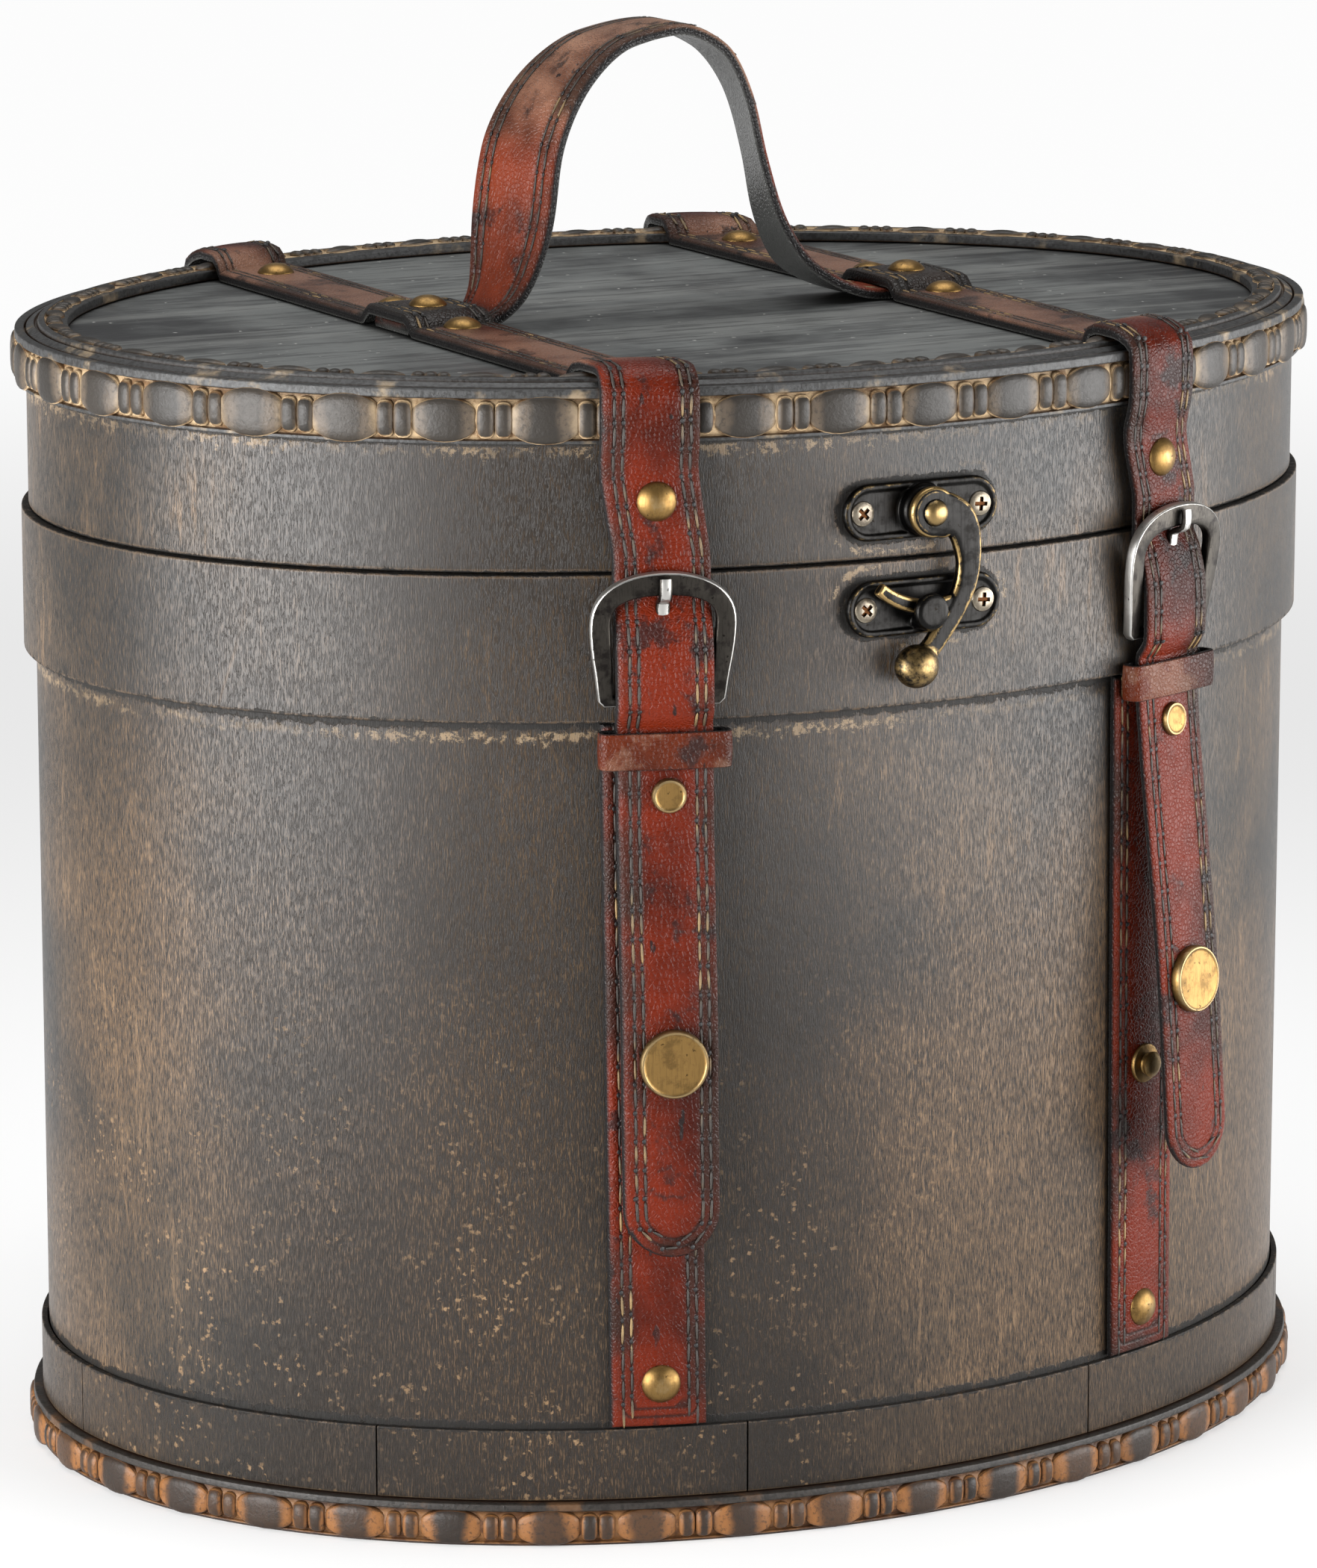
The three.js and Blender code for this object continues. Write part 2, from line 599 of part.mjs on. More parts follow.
for (const { name, side, line, flare, shift } of SIDES) {
  // Straps of the body and the lid, with their rivets
  const bodyStations = [
    onWall(GAP, BASE_BAND_TOP + BODY_STRAP_INSET), onWall(GAP, BODY_HEIGHT / 2),
    onWall(GAP, COLLAR_BOTTOM - BODY_STRAP_INSET),
  ];
  piece(BODY, `body_strap_${name}`, 'leather', strapStrip(bodyStations, side));
  const bodyFace = (z) => raised(strapFrame(bodyStations, side, z), STRAP_THICK);
  const bodyHosts = [`body_strap_${name}`, 'body_wall'];
  const shank = [SHANK_RADIUS, STRAP_THICK + RIVET_BITE];
  const dome = domeHead(RIVET_RADIUS, RIVET_HEIGHT);
  fasten(BODY, `body_strap_rivet_${name}`, 'brass', bodyFace(BODY_RIVET_HEIGHT), dome, shank, bodyHosts);
  const stud = [
    [STUD_RADIUS * 1.5, GAP], [STUD_RADIUS * 1.5, GAP * 2], [STUD_RADIUS * 0.75, STUD_STAND * 0.4],
    [STUD_RADIUS, STUD_STAND * 0.7], [STUD_RADIUS * 0.7, STUD_STAND], [0, STUD_STAND],
  ];
  fasten(BODY, `snap_stud_${name}`, 'brass', bodyFace(STUD_HEIGHT), stud, shank, bodyHosts);

  const lidStations = lidStrapStations(line, shift);
  piece(LID, `lid_strap_${name}`, 'leather', strapStrip(lidStations, side));
  const lidFront = lidStations.slice(0, 3);
  const lidFace = raised(strapFrame(lidFront, side, LID_RIVET_HEIGHT), STRAP_THICK);
  const lidShank = [SHANK_RADIUS, STRAP_THICK + LID_STRAP_STAND_OFF + RIVET_BITE];
  fasten(LID, `lid_strap_rivet_${name}`, 'brass', lidFace, dome, lidShank, [`lid_strap_${name}`, 'lid_wall']);

  // Flap: strap, buckle, prong, keeper, rivet and snap
  const flap = `${name}_flap`;
  const tail = `strap_tail_${name}`;
  const stations = flapStations(line, flare, shift);
  piece(flap, tail, 'leather', strapStrip(stations, side));
  const foot = line - BUCKLE_DROP - BUCKLE_HEIGHT;
  const buckleLean = (STRAP_THICK + 2 * GAP) / (BUCKLE_HEIGHT - BUCKLE_TOP_BAR);
  const buckleX = strapCentre(side, foot + BUCKLE_HEIGHT / 2, FLAP_OFFSET) + shift;
  const buckleFrame = wallFrame(buckleX, FLAP_OFFSET, foot, buckleLean);
  piece(flap, `buckle_frame_${name}`, 'gunmetal', extruded(buckleShape(), BUCKLE_THICK), buckleFrame);
  piece(flap, `buckle_prong_${name}`, 'gunmetal', sideways(prongShape(), PRONG_WIDTH), buckleFrame);
  cut([tail], sideways(prongShape(2 * GAP), PRONG_WIDTH + 2 * GAP), buckleFrame);
  const keeperFrame = strapFrame(stations, side, line - KEEPER_DROP);
  piece(flap, `keeper_${name}`, 'leather', keeperGeometry(), keeperFrame);
  const tailRivetZ = line - TAIL_RIVET_DROP;
  const tailFace = raised(strapFrame(stations, side, tailRivetZ), STRAP_THICK);
  const flat = flatHead(TAIL_RIVET_RADIUS, TAIL_RIVET_HEIGHT);
  fasten(flap, `tail_rivet_${name}`, 'brass', tailFace, flat, [SHANK_RADIUS, STRAP_THICK], [tail]);
  const capZ = stations.find((station) => station.cap).z;
  const capFace = strapFrame(stations, side, capZ + GAP);
  const front = STRAP_THICK + GAP;
  piece(flap, `snap_cap_${name}`, 'brass', turned([
    [0, -GAP], [STUD_RADIUS, -GAP], [STUD_RADIUS, -GAP - SOCKET_THICK], [SOCKET_RADIUS, -GAP - SOCKET_THICK],
    [SOCKET_RADIUS, -GAP], [SHANK_RADIUS, -GAP], [SHANK_RADIUS, front], [CAP_RADIUS, front],
    [CAP_RADIUS, front + CAP_THICK * 0.7], [CAP_RADIUS * 0.93, front + CAP_THICK], [0, front + CAP_THICK],
  ]), capFace);
  cut([tail], rod(SHANK_RADIUS + GAP, -STRAP_THICK, 2 * STRAP_THICK), capFace);
}

// Handle: one strip along x, flat under both straps and twisted a little up its left leg
const strapEdge = STRAP_X - STRAP_HALF;
const handleEnd = STRAP_X + STRAP_HALF - HANDLE_END_INSET;
const handleRise = (share) => TOP_BASE + HANDLE_THICK + (HANDLE_HEIGHT - HANDLE_THICK) * share;
// Each point of the arch, as shares of half its span, of its height and of its twist
const ARCH = [
  [-1, 0, 0], [-0.883, 0.09, 0.35], [-0.815, 0.32, 1], [-0.766, 0.57, 1], [-0.61, 0.81, 0.8],
  [-0.337, 0.965, 0.4], [-0.064, 1, 0.1], [0.2, 0.92, -0.1], [0.357, 0.74, -0.2], [0.444, 0.5, -0.2],
  [0.522, 0.28, -0.1], [0.669, 0.1, 0], [1, 0, 0],
];

function handleGeometry() {
  const arch = new THREE.CatmullRomCurve3(ARCH.map(([reach, share, twist]) => (
    new THREE.Vector3(reach * strapEdge, twist * HANDLE_TWIST, handleRise(share)))), false, 'centripetal');
  const stations = arch.getPoints(ARCH.length * 2).map((point) => ({ point, end: false }));
  const flatEnd = (x) => ({ point: new THREE.Vector3(x, 0, TOP_BASE + HANDLE_THICK), end: true });
  const path = [
    flatEnd(-handleEnd), flatEnd(-strapEdge - GAP), ...stations.slice(1, -1),
    flatEnd(strapEdge + GAP), flatEnd(handleEnd),
  ];
  const column = (across) => {
    const outer = path.map(({ point, end }) => {
      const half = (end ? HANDLE_END_WIDTH : HANDLE_WIDTH) / 2;
      return new THREE.Vector3(point.x - across * point.y, HANDLE_CENTRE_Y + across * half, point.z);
    });
    const inner = outer.map((point, i) => {
      const before = outer[Math.max(i - 1, 0)];
      const after = outer[Math.min(i + 1, outer.length - 1)];
      const run = Math.hypot(after.x - before.x, after.z - before.z);
      const down = new THREE.Vector3((after.z - before.z) / run, 0, (before.x - after.x) / run);
      return point.clone().addScaledVector(down, HANDLE_THICK);
    });
    return { inner, outer };
  };
  return strip([column(-1), column(1)]);
}
piece(LID, 'handle', 'leather', handleGeometry());

for (const { name, side } of SIDES) {
  const strap = `lid_strap_${name}`;
  const x = side * STRAP_X;
  const dome = domeHead(RIVET_RADIUS, RIVET_HEIGHT);
  const flatShank = [SHANK_RADIUS, STRAP_THICK + RIVET_BITE];
  const humpShank = [SHANK_RADIUS, STRAP_THICK + GAP + HANDLE_THICK + RIVET_BITE];
  const flatTop = TOP_BASE + STRAP_THICK;
  const back = topFrame(x, ovalY(x, TOP_IN) - BACK_RIVET_INSET, flatTop);
  fasten(LID, `back_rivet_${name}`, 'brass', back, dome, flatShank, [strap, 'top_panel']);
  [['back', 1], ['middle', 0], ['front', -1]].forEach(([row, step]) => {
    const y = HANDLE_CENTRE_Y + step * HANDLE_RIVET_PITCH;
    const frame = topFrame(x, y, step ? flatTop : HUMP_Z + STRAP_THICK);
    const hosts = step ? [strap, 'top_panel'] : [strap, 'handle', 'top_panel'];
    fasten(LID, `handle_rivet_${name}_${row}`, 'brass', frame, dome, step ? flatShank : humpShank, hosts);
  });
}

// Swing latch: plate, screws, pivot and hook on the lid, and the catch on the collar
function latchPlateShape() {
  const radius = LATCH_PLATE_WIDTH / 2;
  const reach = LATCH_PLATE_LENGTH / 2 - radius;
  const shape = new THREE.Shape();
  shape.absarc(reach, 0, radius, -Math.PI / 2, Math.PI / 2);
  shape.absarc(-reach, 0, radius, Math.PI / 2, Math.PI * 1.5);
  return shape;
}

const HOOK = 'latch_hook';
const latchFrame = frontFrame(LATCH_X, LID_WALL_PROUD + GAP, LATCH_Z);
const bossTop = HOOK_STAND_OFF - GAP;
const latchPlate = extruded(latchPlateShape(), LATCH_PLATE_THICK);
piece(LID, 'latch_plate', 'bronze', joined([latchPlate, rod(HOOK_EYE_RADIUS, 0, bossTop)]), latchFrame);

const catchZ = LATCH_Z - CATCH_DROP;
const catchFrame = frontFrame(LATCH_X, COLLAR_OUT + GAP, catchZ);
const hookBack = LID_WALL_PROUD + GAP + HOOK_STAND_OFF;
const headBack = hookBack + HOOK_THICK + SPUR_CLEARANCE - COLLAR_OUT - GAP;
const shankTop = -SPUR_WIDTH / 2 - SPUR_CLEARANCE;
const shankSpan = [-CATCH_SHANK_WIDTH - GAP, -GAP];
const shankRise = [shankTop - CATCH_SHANK_HEIGHT, shankTop];
const catchPost = block(shankSpan, shankRise, [0, headBack + CATCH_HEAD_THICK]);
const catchHead = rod(CATCH_HEAD_RADIUS, headBack, headBack + CATCH_HEAD_THICK)
  .translate(-CATCH_SHANK_WIDTH / 2 - GAP, -GAP, 0);
const catchPlate = extruded(latchPlateShape(), LATCH_PLATE_THICK);
piece(BODY, 'catch_plate', 'bronze', joined([catchPlate, catchPost, catchHead]), catchFrame);

for (const [name, side] of [['left', -1], ['right', 1]]) {
  const head = flatHead(SCREW_HEAD_RADIUS, SCREW_HEAD_HEIGHT);
  const shank = [SCREW_RADIUS, LATCH_PLATE_THICK + GAP + SCREW_BITE];
  const seat = (frame) => frame.clone().multiply(
    new THREE.Matrix4().makeTranslation(side * LATCH_SCREW_PITCH / 2, 0, LATCH_PLATE_THICK),
  );
  fasten(LID, `latch_screw_${name}`, 'nickel', seat(latchFrame), head, shank, ['latch_plate', 'lid_wall']);
  const catchHosts = ['catch_plate', 'collar_band'];
  fasten(BODY, `catch_screw_${name}`, 'nickel', seat(catchFrame), head, shank, catchHosts);
}

// The hook's arm, as shares [right, up] of the catch's drop, and its spur, an arc about the pivot
const ARM = [
  [0, 0], [0.314, -0.121], [0.425, -0.435], [0.396, -0.773],
  [0.242, -1.087], [0.029, -1.377], [-0.174, -1.609],
].map(([right, up]) => [right * CATCH_DROP, up * CATCH_DROP]);
const SPUR_FROM_ANGLE = THREE.MathUtils.degToRad(22);
const SPUR_TO_ANGLE = THREE.MathUtils.degToRad(-40);
const spurArc = [0, 0.25, 0.5, 0.75, 1].map((share) => {
  const angle = THREE.MathUtils.lerp(SPUR_FROM_ANGLE, SPUR_TO_ANGLE, share);
  return [CATCH_DROP * Math.sin(angle), -CATCH_DROP * Math.cos(angle)];
});
const hookFrame = raised(latchFrame, HOOK_STAND_OFF);
const [ballX, ballY] = ARM.at(-1);
const hookBall = new THREE.SphereGeometry(HOOK_BALL_RADIUS, ROUND_SEGMENTS, ROUND_SEGMENTS / 2)
  .translate(ballX, ballY, HOOK_THICK / 2);
piece(HOOK, 'latch_hook', 'bronze', joined([
  rod(HOOK_EYE_RADIUS, 0, HOOK_THICK), extruded(ribbonShape(ARM, HOOK_ARM_WIDTH), HOOK_THICK),
  extruded(ribbonShape(spurArc, SPUR_WIDTH), HOOK_THICK), hookBall,
]), hookFrame);
const pivotSeat = raised(hookFrame, HOOK_THICK);
const pivotShank = [SHANK_RADIUS, HOOK_THICK + GAP + RIVET_BITE];
const pivotHead = domeHead(PIVOT_HEAD_RADIUS, RIVET_HEIGHT);
fasten(LID, 'latch_pivot', 'bronze', pivotSeat, pivotHead, pivotShank, ['latch_plate', 'latch_hook']);

// Back hinges: an outline drawn as [back, up] from the leaf's seat, pushed along x
const hingeSeat = ovalY(HINGE_X - HINGE_WIDTH / 2, COLLAR_OUT) + GAP;
const pinHole = PIN_RADIUS + GAP;
const LID_STEP = COLLAR_OUT - LID_WALL_PROUD;
const hingeFrame = (x) => new THREE.Matrix4().makeBasis(
  new THREE.Vector3(0, 1, 0), new THREE.Vector3(0, 0, 1), new THREE.Vector3(1, 0, 0),
).setPosition(x, hingeSeat, BODY_HEIGHT);

function knuckle(low, high) {
  const ring = new THREE.Shape().absarc(KNUCKLE_RADIUS, 0, KNUCKLE_RADIUS, 0, Math.PI * 2);
  ring.holes.push(new THREE.Path().absarc(KNUCKLE_RADIUS, 0, pinHole, 0, Math.PI * 2));
  return extruded(ring, high - low).translate(0, 0, low);
}

const half = HINGE_WIDTH / 2;
const middle = HINGE_WIDTH / 6;
const leaf = [0, HINGE_LEAF_THICK];
const clearOfKnuckle = KNUCKLE_RADIUS + 2 * GAP;
const bridge = [clearOfKnuckle, clearOfKnuckle + HINGE_LEAF_THICK];
const lowerLeaf = joined([
  block(leaf, [-HINGE_LEAF_HEIGHT, -clearOfKnuckle], [-half, half]),
  ...[[-half, -middle - GAP], [middle + GAP, half]].flatMap((span) => [
    block(leaf, [-clearOfKnuckle - GAP, -HINGE_LEAF_THICK], span), knuckle(...span),
  ]),
]);
const upperLeaf = joined([
  block([-LID_STEP, HINGE_LEAF_THICK - LID_STEP], [clearOfKnuckle, HINGE_LEAF_HEIGHT], [-half, half]),
  block([-LID_STEP, HINGE_LEAF_THICK], bridge, [-middle, middle]),
  block(leaf, [HINGE_LEAF_THICK, clearOfKnuckle + HINGE_LEAF_THICK], [-middle, middle]),
  knuckle(-middle, middle),
]);
for (const { name, side } of SIDES) {
  const frame = hingeFrame(side * HINGE_X);
  piece(BODY, `hinge_lower_leaf_${name}`, 'brass', lowerLeaf, frame);
  piece(LID, `hinge_upper_leaf_${name}`, 'brass', upperLeaf, frame);
  const pin = rod(PIN_RADIUS, -half, half).translate(KNUCKLE_RADIUS, 0, 0);
  piece(BODY, `hinge_pin_${name}`, 'brass', pin, frame);
}

// The box: one group for each body that moves as one
const box = new THREE.Group();
const groups = new Map();
for (const [name, { body, finish, geometry, frame, cuts }] of pieces) {
  const toLocal = frame.clone().invert();
  const bored = (solid, hole) => solid.subtract(solidOf(hole.applyMatrix4(toLocal)));
  const shape = cuts.length ? geometryOf(cuts.reduce(bored, solidOf(geometry))) : closed(geometry);
  const mesh = new THREE.Mesh(shape, new THREE.MeshStandardMaterial(FINISHES[finish]));
  mesh.name = name;
  mesh.applyMatrix4(frame);
  if (!groups.has(body)) {
    groups.set(body, new THREE.Group());
    box.add(groups.get(body));
  }
  groups.get(body).add(mesh);
}

export default box;
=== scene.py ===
"""The looks of an oval wooden storage box with carved rims, buckled straps, a swing latch and a handle."""
import math

import bmesh
import bpy
import numpy as np
from mathutils import Matrix, Vector


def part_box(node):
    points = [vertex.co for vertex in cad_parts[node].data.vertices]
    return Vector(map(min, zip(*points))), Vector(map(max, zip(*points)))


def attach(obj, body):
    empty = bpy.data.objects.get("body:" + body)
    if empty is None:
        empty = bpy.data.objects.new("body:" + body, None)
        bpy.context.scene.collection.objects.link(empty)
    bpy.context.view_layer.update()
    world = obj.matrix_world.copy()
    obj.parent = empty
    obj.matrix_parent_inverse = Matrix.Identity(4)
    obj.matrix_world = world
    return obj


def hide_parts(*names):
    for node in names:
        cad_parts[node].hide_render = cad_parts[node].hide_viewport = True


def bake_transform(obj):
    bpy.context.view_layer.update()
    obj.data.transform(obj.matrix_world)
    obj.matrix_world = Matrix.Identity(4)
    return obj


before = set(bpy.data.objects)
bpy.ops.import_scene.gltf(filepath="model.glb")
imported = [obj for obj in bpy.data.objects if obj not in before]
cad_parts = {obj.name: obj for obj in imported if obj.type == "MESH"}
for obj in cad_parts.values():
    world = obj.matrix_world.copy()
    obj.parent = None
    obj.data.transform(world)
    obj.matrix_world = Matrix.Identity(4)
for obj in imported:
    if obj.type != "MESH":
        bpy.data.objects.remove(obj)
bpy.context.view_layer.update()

MM = 0.001
GAP = 0.3 * MM


def low(node):
    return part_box(node)[0]


def high(node):
    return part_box(node)[1]


def middle(node):
    return (low(node) + high(node)) / 2


# Levels and offsets of the shell, read from the parts of model.glb; an offset is a distance outside the
# body's oval
HALF_LENGTH = high("body_wall").x
HALF_WIDTH = high("body_wall").y
BODY_TOP = high("body_wall").z
WALL_THICK = 4 * MM
COLLAR_OUT = high("collar_band").x - HALF_LENGTH
BAND_OUT = high("base_band").x - HALF_LENGTH
LID_OUT = high("lid_wall").x - HALF_LENGTH
LID_BOTTOM = low("lid_wall").z
PANEL_TOP = high("top_panel").z
PANEL_OUT = high("top_panel").x - HALF_LENGTH
SIDE_OUT = high("lid_side_moulding").x - HALF_LENGTH
SIDE_LOW = low("lid_side_moulding").z
SIDE_HIGH = high("lid_side_moulding").z
CREST = high("top_moulding").z
TOP_BASE = low("top_moulding").z
BASE_OUT = high("base_moulding").x - HALF_LENGTH
BASE_HIGH = high("base_moulding").z
COLLAR_LOW = low("collar_band").z
BAND_HIGH = high("base_band").z

# The way towards the camera, which the painted shade on the front follows
FRONT = Vector((-0.468, -0.884))

# Swing latch
LATCH_X = middle("latch_plate").x
LATCH_Z = 225.8 * MM
CATCH_Z = middle("catch_plate").z
PLATE_HALF = 19 * MM
PLATE_TALL = 12.5 * MM

# Leather straps
STRAP_X = middle("handle_rivet_right_middle").x
STRAP_HALF = 10.5 * MM
STRAP_THICK = 2.4 * MM
STRAP_DRIFT = 2.6 * MM
STRAP_STEP = 1.6 * MM
STITCH_INSETS = (2.3 * MM, 4.2 * MM)
STITCH_PITCH = 6.1 * MM

# Camera that took the photograph, as found from the outlines
CAMERA_AZIMUTH = math.radians(-27.92)
CAMERA_ELEVATION = math.radians(12.12)
CAMERA_DISTANCE = 1617 * MM
CAMERA_TARGET = Vector((-2.4, 0.7, 142.9)) * MM
CAMERA_LENS = 160.27


class Graph:
    """Adds nodes to a tree. An input given as a socket is linked, and any other value is set."""

    def __init__(self, tree):
        self.tree = tree

    def add(self, kind, inputs=None, **settings):
        node = self.tree.nodes.new(kind)
        for name, value in settings.items():
            setattr(node, name, value)
        for key, value in (inputs or {}).items():
            self.feed(node.inputs[key], value)
        return node

    def feed(self, socket, value):
        if isinstance(value, bpy.types.NodeSocket):
            self.tree.links.new(value, socket)
        else:
            socket.default_value = value

    def math(self, operation, value, *others, clamp=False):
        """Puts values together in turn, two at a time."""
        for other in others or (0.0,):
            inputs = {0: value, 1: other}
            value = self.add("ShaderNodeMath", inputs, operation=operation, use_clamp=clamp).outputs[0]
        return value

    def times(self, *values):
        return self.math("MULTIPLY", *values)

    def plus(self, *values):
        return self.math("ADD", *values)

    def minus(self, *values):
        return self.math("SUBTRACT", *values)

    def greatest(self, *values):
        return self.math("MAXIMUM", *values)

    def least(self, *values):
        return self.math("MINIMUM", *values)

    def apart(self, value, place):
        return self.math("ABSOLUTE", self.minus(value, place))

    def vector(self, operation, a, b=(0.0, 0.0, 0.0)):
        node = self.add("ShaderNodeVectorMath", {0: a, 1: b}, operation=operation)
        return node.outputs["Value" if operation == "LENGTH" else "Vector"]

    def ramp(self, value, start, end):
        """0 below start, 1 above end, smooth between them; start may be the greater one."""
        inputs = {"Value": value, "From Min": start, "From Max": end}
        return self.add("ShaderNodeMapRange", inputs, interpolation_type="SMOOTHSTEP").outputs[0]

    def near(self, value, place, width):
        """1 where the value is at the place, falling to 0 at the width."""
        return self.ramp(self.apart(value, place), width, 0.0)

    def mix(self, share, a, b):
        return self.add("ShaderNodeMix", {0: share, 6: a, 7: b}, data_type="RGBA").outputs[2]

    def blend(self, share, a, b):
        return self.add("ShaderNodeMix", {0: share, 2: a, 3: b}, data_type="FLOAT").outputs[0]

    def noise(self, vector, scale, detail=3.0, roughness=0.55, output=0):
        inputs = {"Vector": vector, "Scale": scale, "Detail": detail, "Roughness": roughness}
        return self.add("ShaderNodeTexNoise", inputs).outputs[output]

    def cells(self, vector, scale, feature="F1"):
        return self.add("ShaderNodeTexVoronoi", {"Vector": vector, "Scale": scale}, feature=feature).outputs

    def here(self):
        return self.add("ShaderNodeTexCoord").outputs["Object"]

    def stretched(self, scale):
        """Object coordinates stretched along the axes."""
        return self.add("ShaderNodeMapping", {"Vector": self.here(), "Scale": scale}).outputs[0]

    def place(self):
        return self.add("ShaderNodeSeparateXYZ", {0: self.here()}).outputs

    def attribute(self, name):
        return self.add("ShaderNodeAttribute", attribute_name=name).outputs["Fac"]

    def bump(self, height, distance, strength=1.0):
        inputs = {"Height": height, "Distance": distance, "Strength": strength}
        return self.add("ShaderNodeBump", inputs).outputs[0]

    def combine(self, x, y, z):
        return self.add("ShaderNodeCombineXYZ", {0: x, 1: y, 2: z}).outputs[0]


def rgb(red, green, blue):
    return (red, green, blue, 1.0)


def darker(colour, share):
    return rgb(*(part * share for part in colour[:3]))


# Shared effects, as shader node groups
def shader_group(name, inputs, outputs, build):
    tree = bpy.data.node_groups.new(name, "ShaderNodeTree")
    for title, value in inputs.items():
        socket = tree.interface.new_socket(title, in_out="INPUT", socket_type="NodeSocketFloat")
        socket.default_value = value
    for title in outputs:
        tree.interface.new_socket(title, in_out="OUTPUT", socket_type="NodeSocketFloat")
    graph = Graph(tree)
    given = graph.add("NodeGroupInput").outputs
    made = build(graph, given)
    graph.add("NodeGroupOutput", dict(zip(outputs, made)))
    return tree


def wood_grain_nodes(g, given):
    place = g.here()
    stretched = g.vector("MULTIPLY", place, g.combine(given["Along X"], given["Along Y"], given["Along Z"]))
    fibre = g.noise(stretched, 1.0, 4.0, 0.65)
    pores = g.ramp(g.noise(stretched, 2.3, 2.0, 0.5), 0.56, 0.68)
    cloud = g.noise(place, given["Cloud Scale"], 5.0, 0.6)
    streak = g.noise(stretched, 0.12, 3.0, 0.6)
    return fibre, pores, cloud, streak


def worn_edge_nodes(g, given):
    place = g.here()
    broken = g.noise(place, given["Scale"], 5.0, 0.7)
    reach = g.plus(given["Edge"], g.minus(broken, 0.5))
    return (g.times(g.ramp(reach, 0.55, 0.95), given["Amount"]),)


# Painted shade: a mask from ambient occlusion that finds corners, creases and places where parts meet
def shade_and_grime_nodes(g, given):
    inputs = {"Distance": given["Distance"]}
    open_air = g.add("ShaderNodeAmbientOcclusion", inputs, samples=6).outputs["AO"]
    place = g.here()
    patchy = g.blend(g.noise(place, 90.0, 4.0, 0.6), 0.6, 1.3)
    shut = g.times(g.ramp(open_air, 0.85, 0.25), patchy)
    return (g.math("MULTIPLY", shut, given["Amount"], clamp=True),)


def speck_nodes(g, given):
    place = g.here()
    ragged = g.vector("MULTIPLY", g.noise(place, 1400.0, 2.0, 0.5, "Color"), (0.0016, 0.0016, 0.0016))
    cells = g.cells(g.vector("ADD", place, ragged), given["Scale"])
    red = g.add("ShaderNodeSeparateColor", {0: cells["Color"]}).outputs[0]
    chosen = g.math("LESS_THAN", red, given["Share"])
    dot = g.ramp(cells["Distance"], given["Size"], g.times(given["Size"], 0.4))
    return (g.times(chosen, dot),)


def hide_nodes(g, given):
    place = g.here()
    swirl = g.vector("MULTIPLY", g.noise(place, 160.0, 3.0, 0.5, "Color"), (0.006, 0.006, 0.006))
    cells = g.cells(place, given["Scale"], "DISTANCE_TO_EDGE")["Distance"]
    fine = g.noise(place, g.times(given["Scale"], 1.7), 3.0, 0.6)
    pebble = g.plus(g.ramp(cells, 0.0, 0.25), g.times(fine, 0.6))
    blot = g.noise(g.vector("ADD", place, swirl), 70.0, 5.0, 0.62)
    wide = g.noise(place, 24.0, 4.0, 0.6)
    return pebble, blot, wide


WOOD_GRAIN = shader_group(
    "wood grain", {"Along X": 900.0, "Along Y": 900.0, "Along Z": 90.0, "Cloud Scale": 16.0},
    ("Fibre", "Pores", "Cloud", "Streak"), wood_grain_nodes)
WORN_EDGE = shader_group("worn edge", {"Edge": 0.0, "Scale": 160.0, "Amount": 1.0}, ("Mask",),
                         worn_edge_nodes)
SHADE_AND_GRIME = shader_group("shade_and_grime", {"Distance": 3 * MM, "Amount": 1.0}, ("Mask",), shade_and_grime_nodes)
SPECKS = shader_group("specks", {"Scale": 300.0, "Size": 0.3, "Share": 0.2}, ("Mask",), speck_nodes)
HIDE = shader_group("hide", {"Scale": 1100.0}, ("Pebble", "Blot", "Wide"), hide_nodes)


def grouped(g, tree, inputs):
    return g.add("ShaderNodeGroup", inputs, node_tree=tree).outputs


def new_material(name):
    material = bpy.data.materials.new(name)
    material.use_nodes = True
    return material, Graph(material.node_tree), material.node_tree.nodes["Principled BSDF"]


def finish_shader(g, shader, colour, roughness, normal, **constants):
    for name, value in (("Base Color", colour), ("Roughness", roughness), ("Normal", normal)):
        g.feed(shader.inputs[name], value)
    for name, value in constants.items():
        shader.inputs[name.replace("_", " ")].default_value = value


# Wood
# Black for crust and dirt, and for painted shade in corners and seams
BLACK_DIRT_AND_SHADE = rgb(0.006, 0.005, 0.004)


def grain_of(g, x, y, z, cloud):
    return grouped(g, WOOD_GRAIN, {"Along X": x, "Along Y": y, "Along Z": z, "Cloud Scale": cloud})


def specks_of(g, scale, size, share):
    return grouped(g, SPECKS, {"Scale": scale, "Size": size, "Share": share})["Mask"]


# Mixes a dark colour in where the occlusion mask finds corners: painted shade, with some dirt
def with_shade_and_grime(g, colour, dirt_and_shade, distance, amount):
    shut = grouped(g, SHADE_AND_GRIME, {"Distance": distance, "Amount": amount})["Mask"]
    return g.mix(shut, colour, dirt_and_shade)


def worn_edge(g, scale, amount):
    return grouped(g, WORN_EDGE, {"Edge": g.attribute("edge"), "Scale": scale, "Amount": amount})["Mask"]


def around_plate(g, x, z, level):
    """Distance from a latch plate's outline."""
    reach = g.greatest(g.minus(g.apart(x, LATCH_X), PLATE_HALF - PLATE_TALL / 2), 0.0)
    rise = g.minus(z, level)
    square = g.plus(g.times(reach, reach), g.times(rise, rise))
    return g.minus(g.math("SQRT", square), PLATE_TALL / 2)


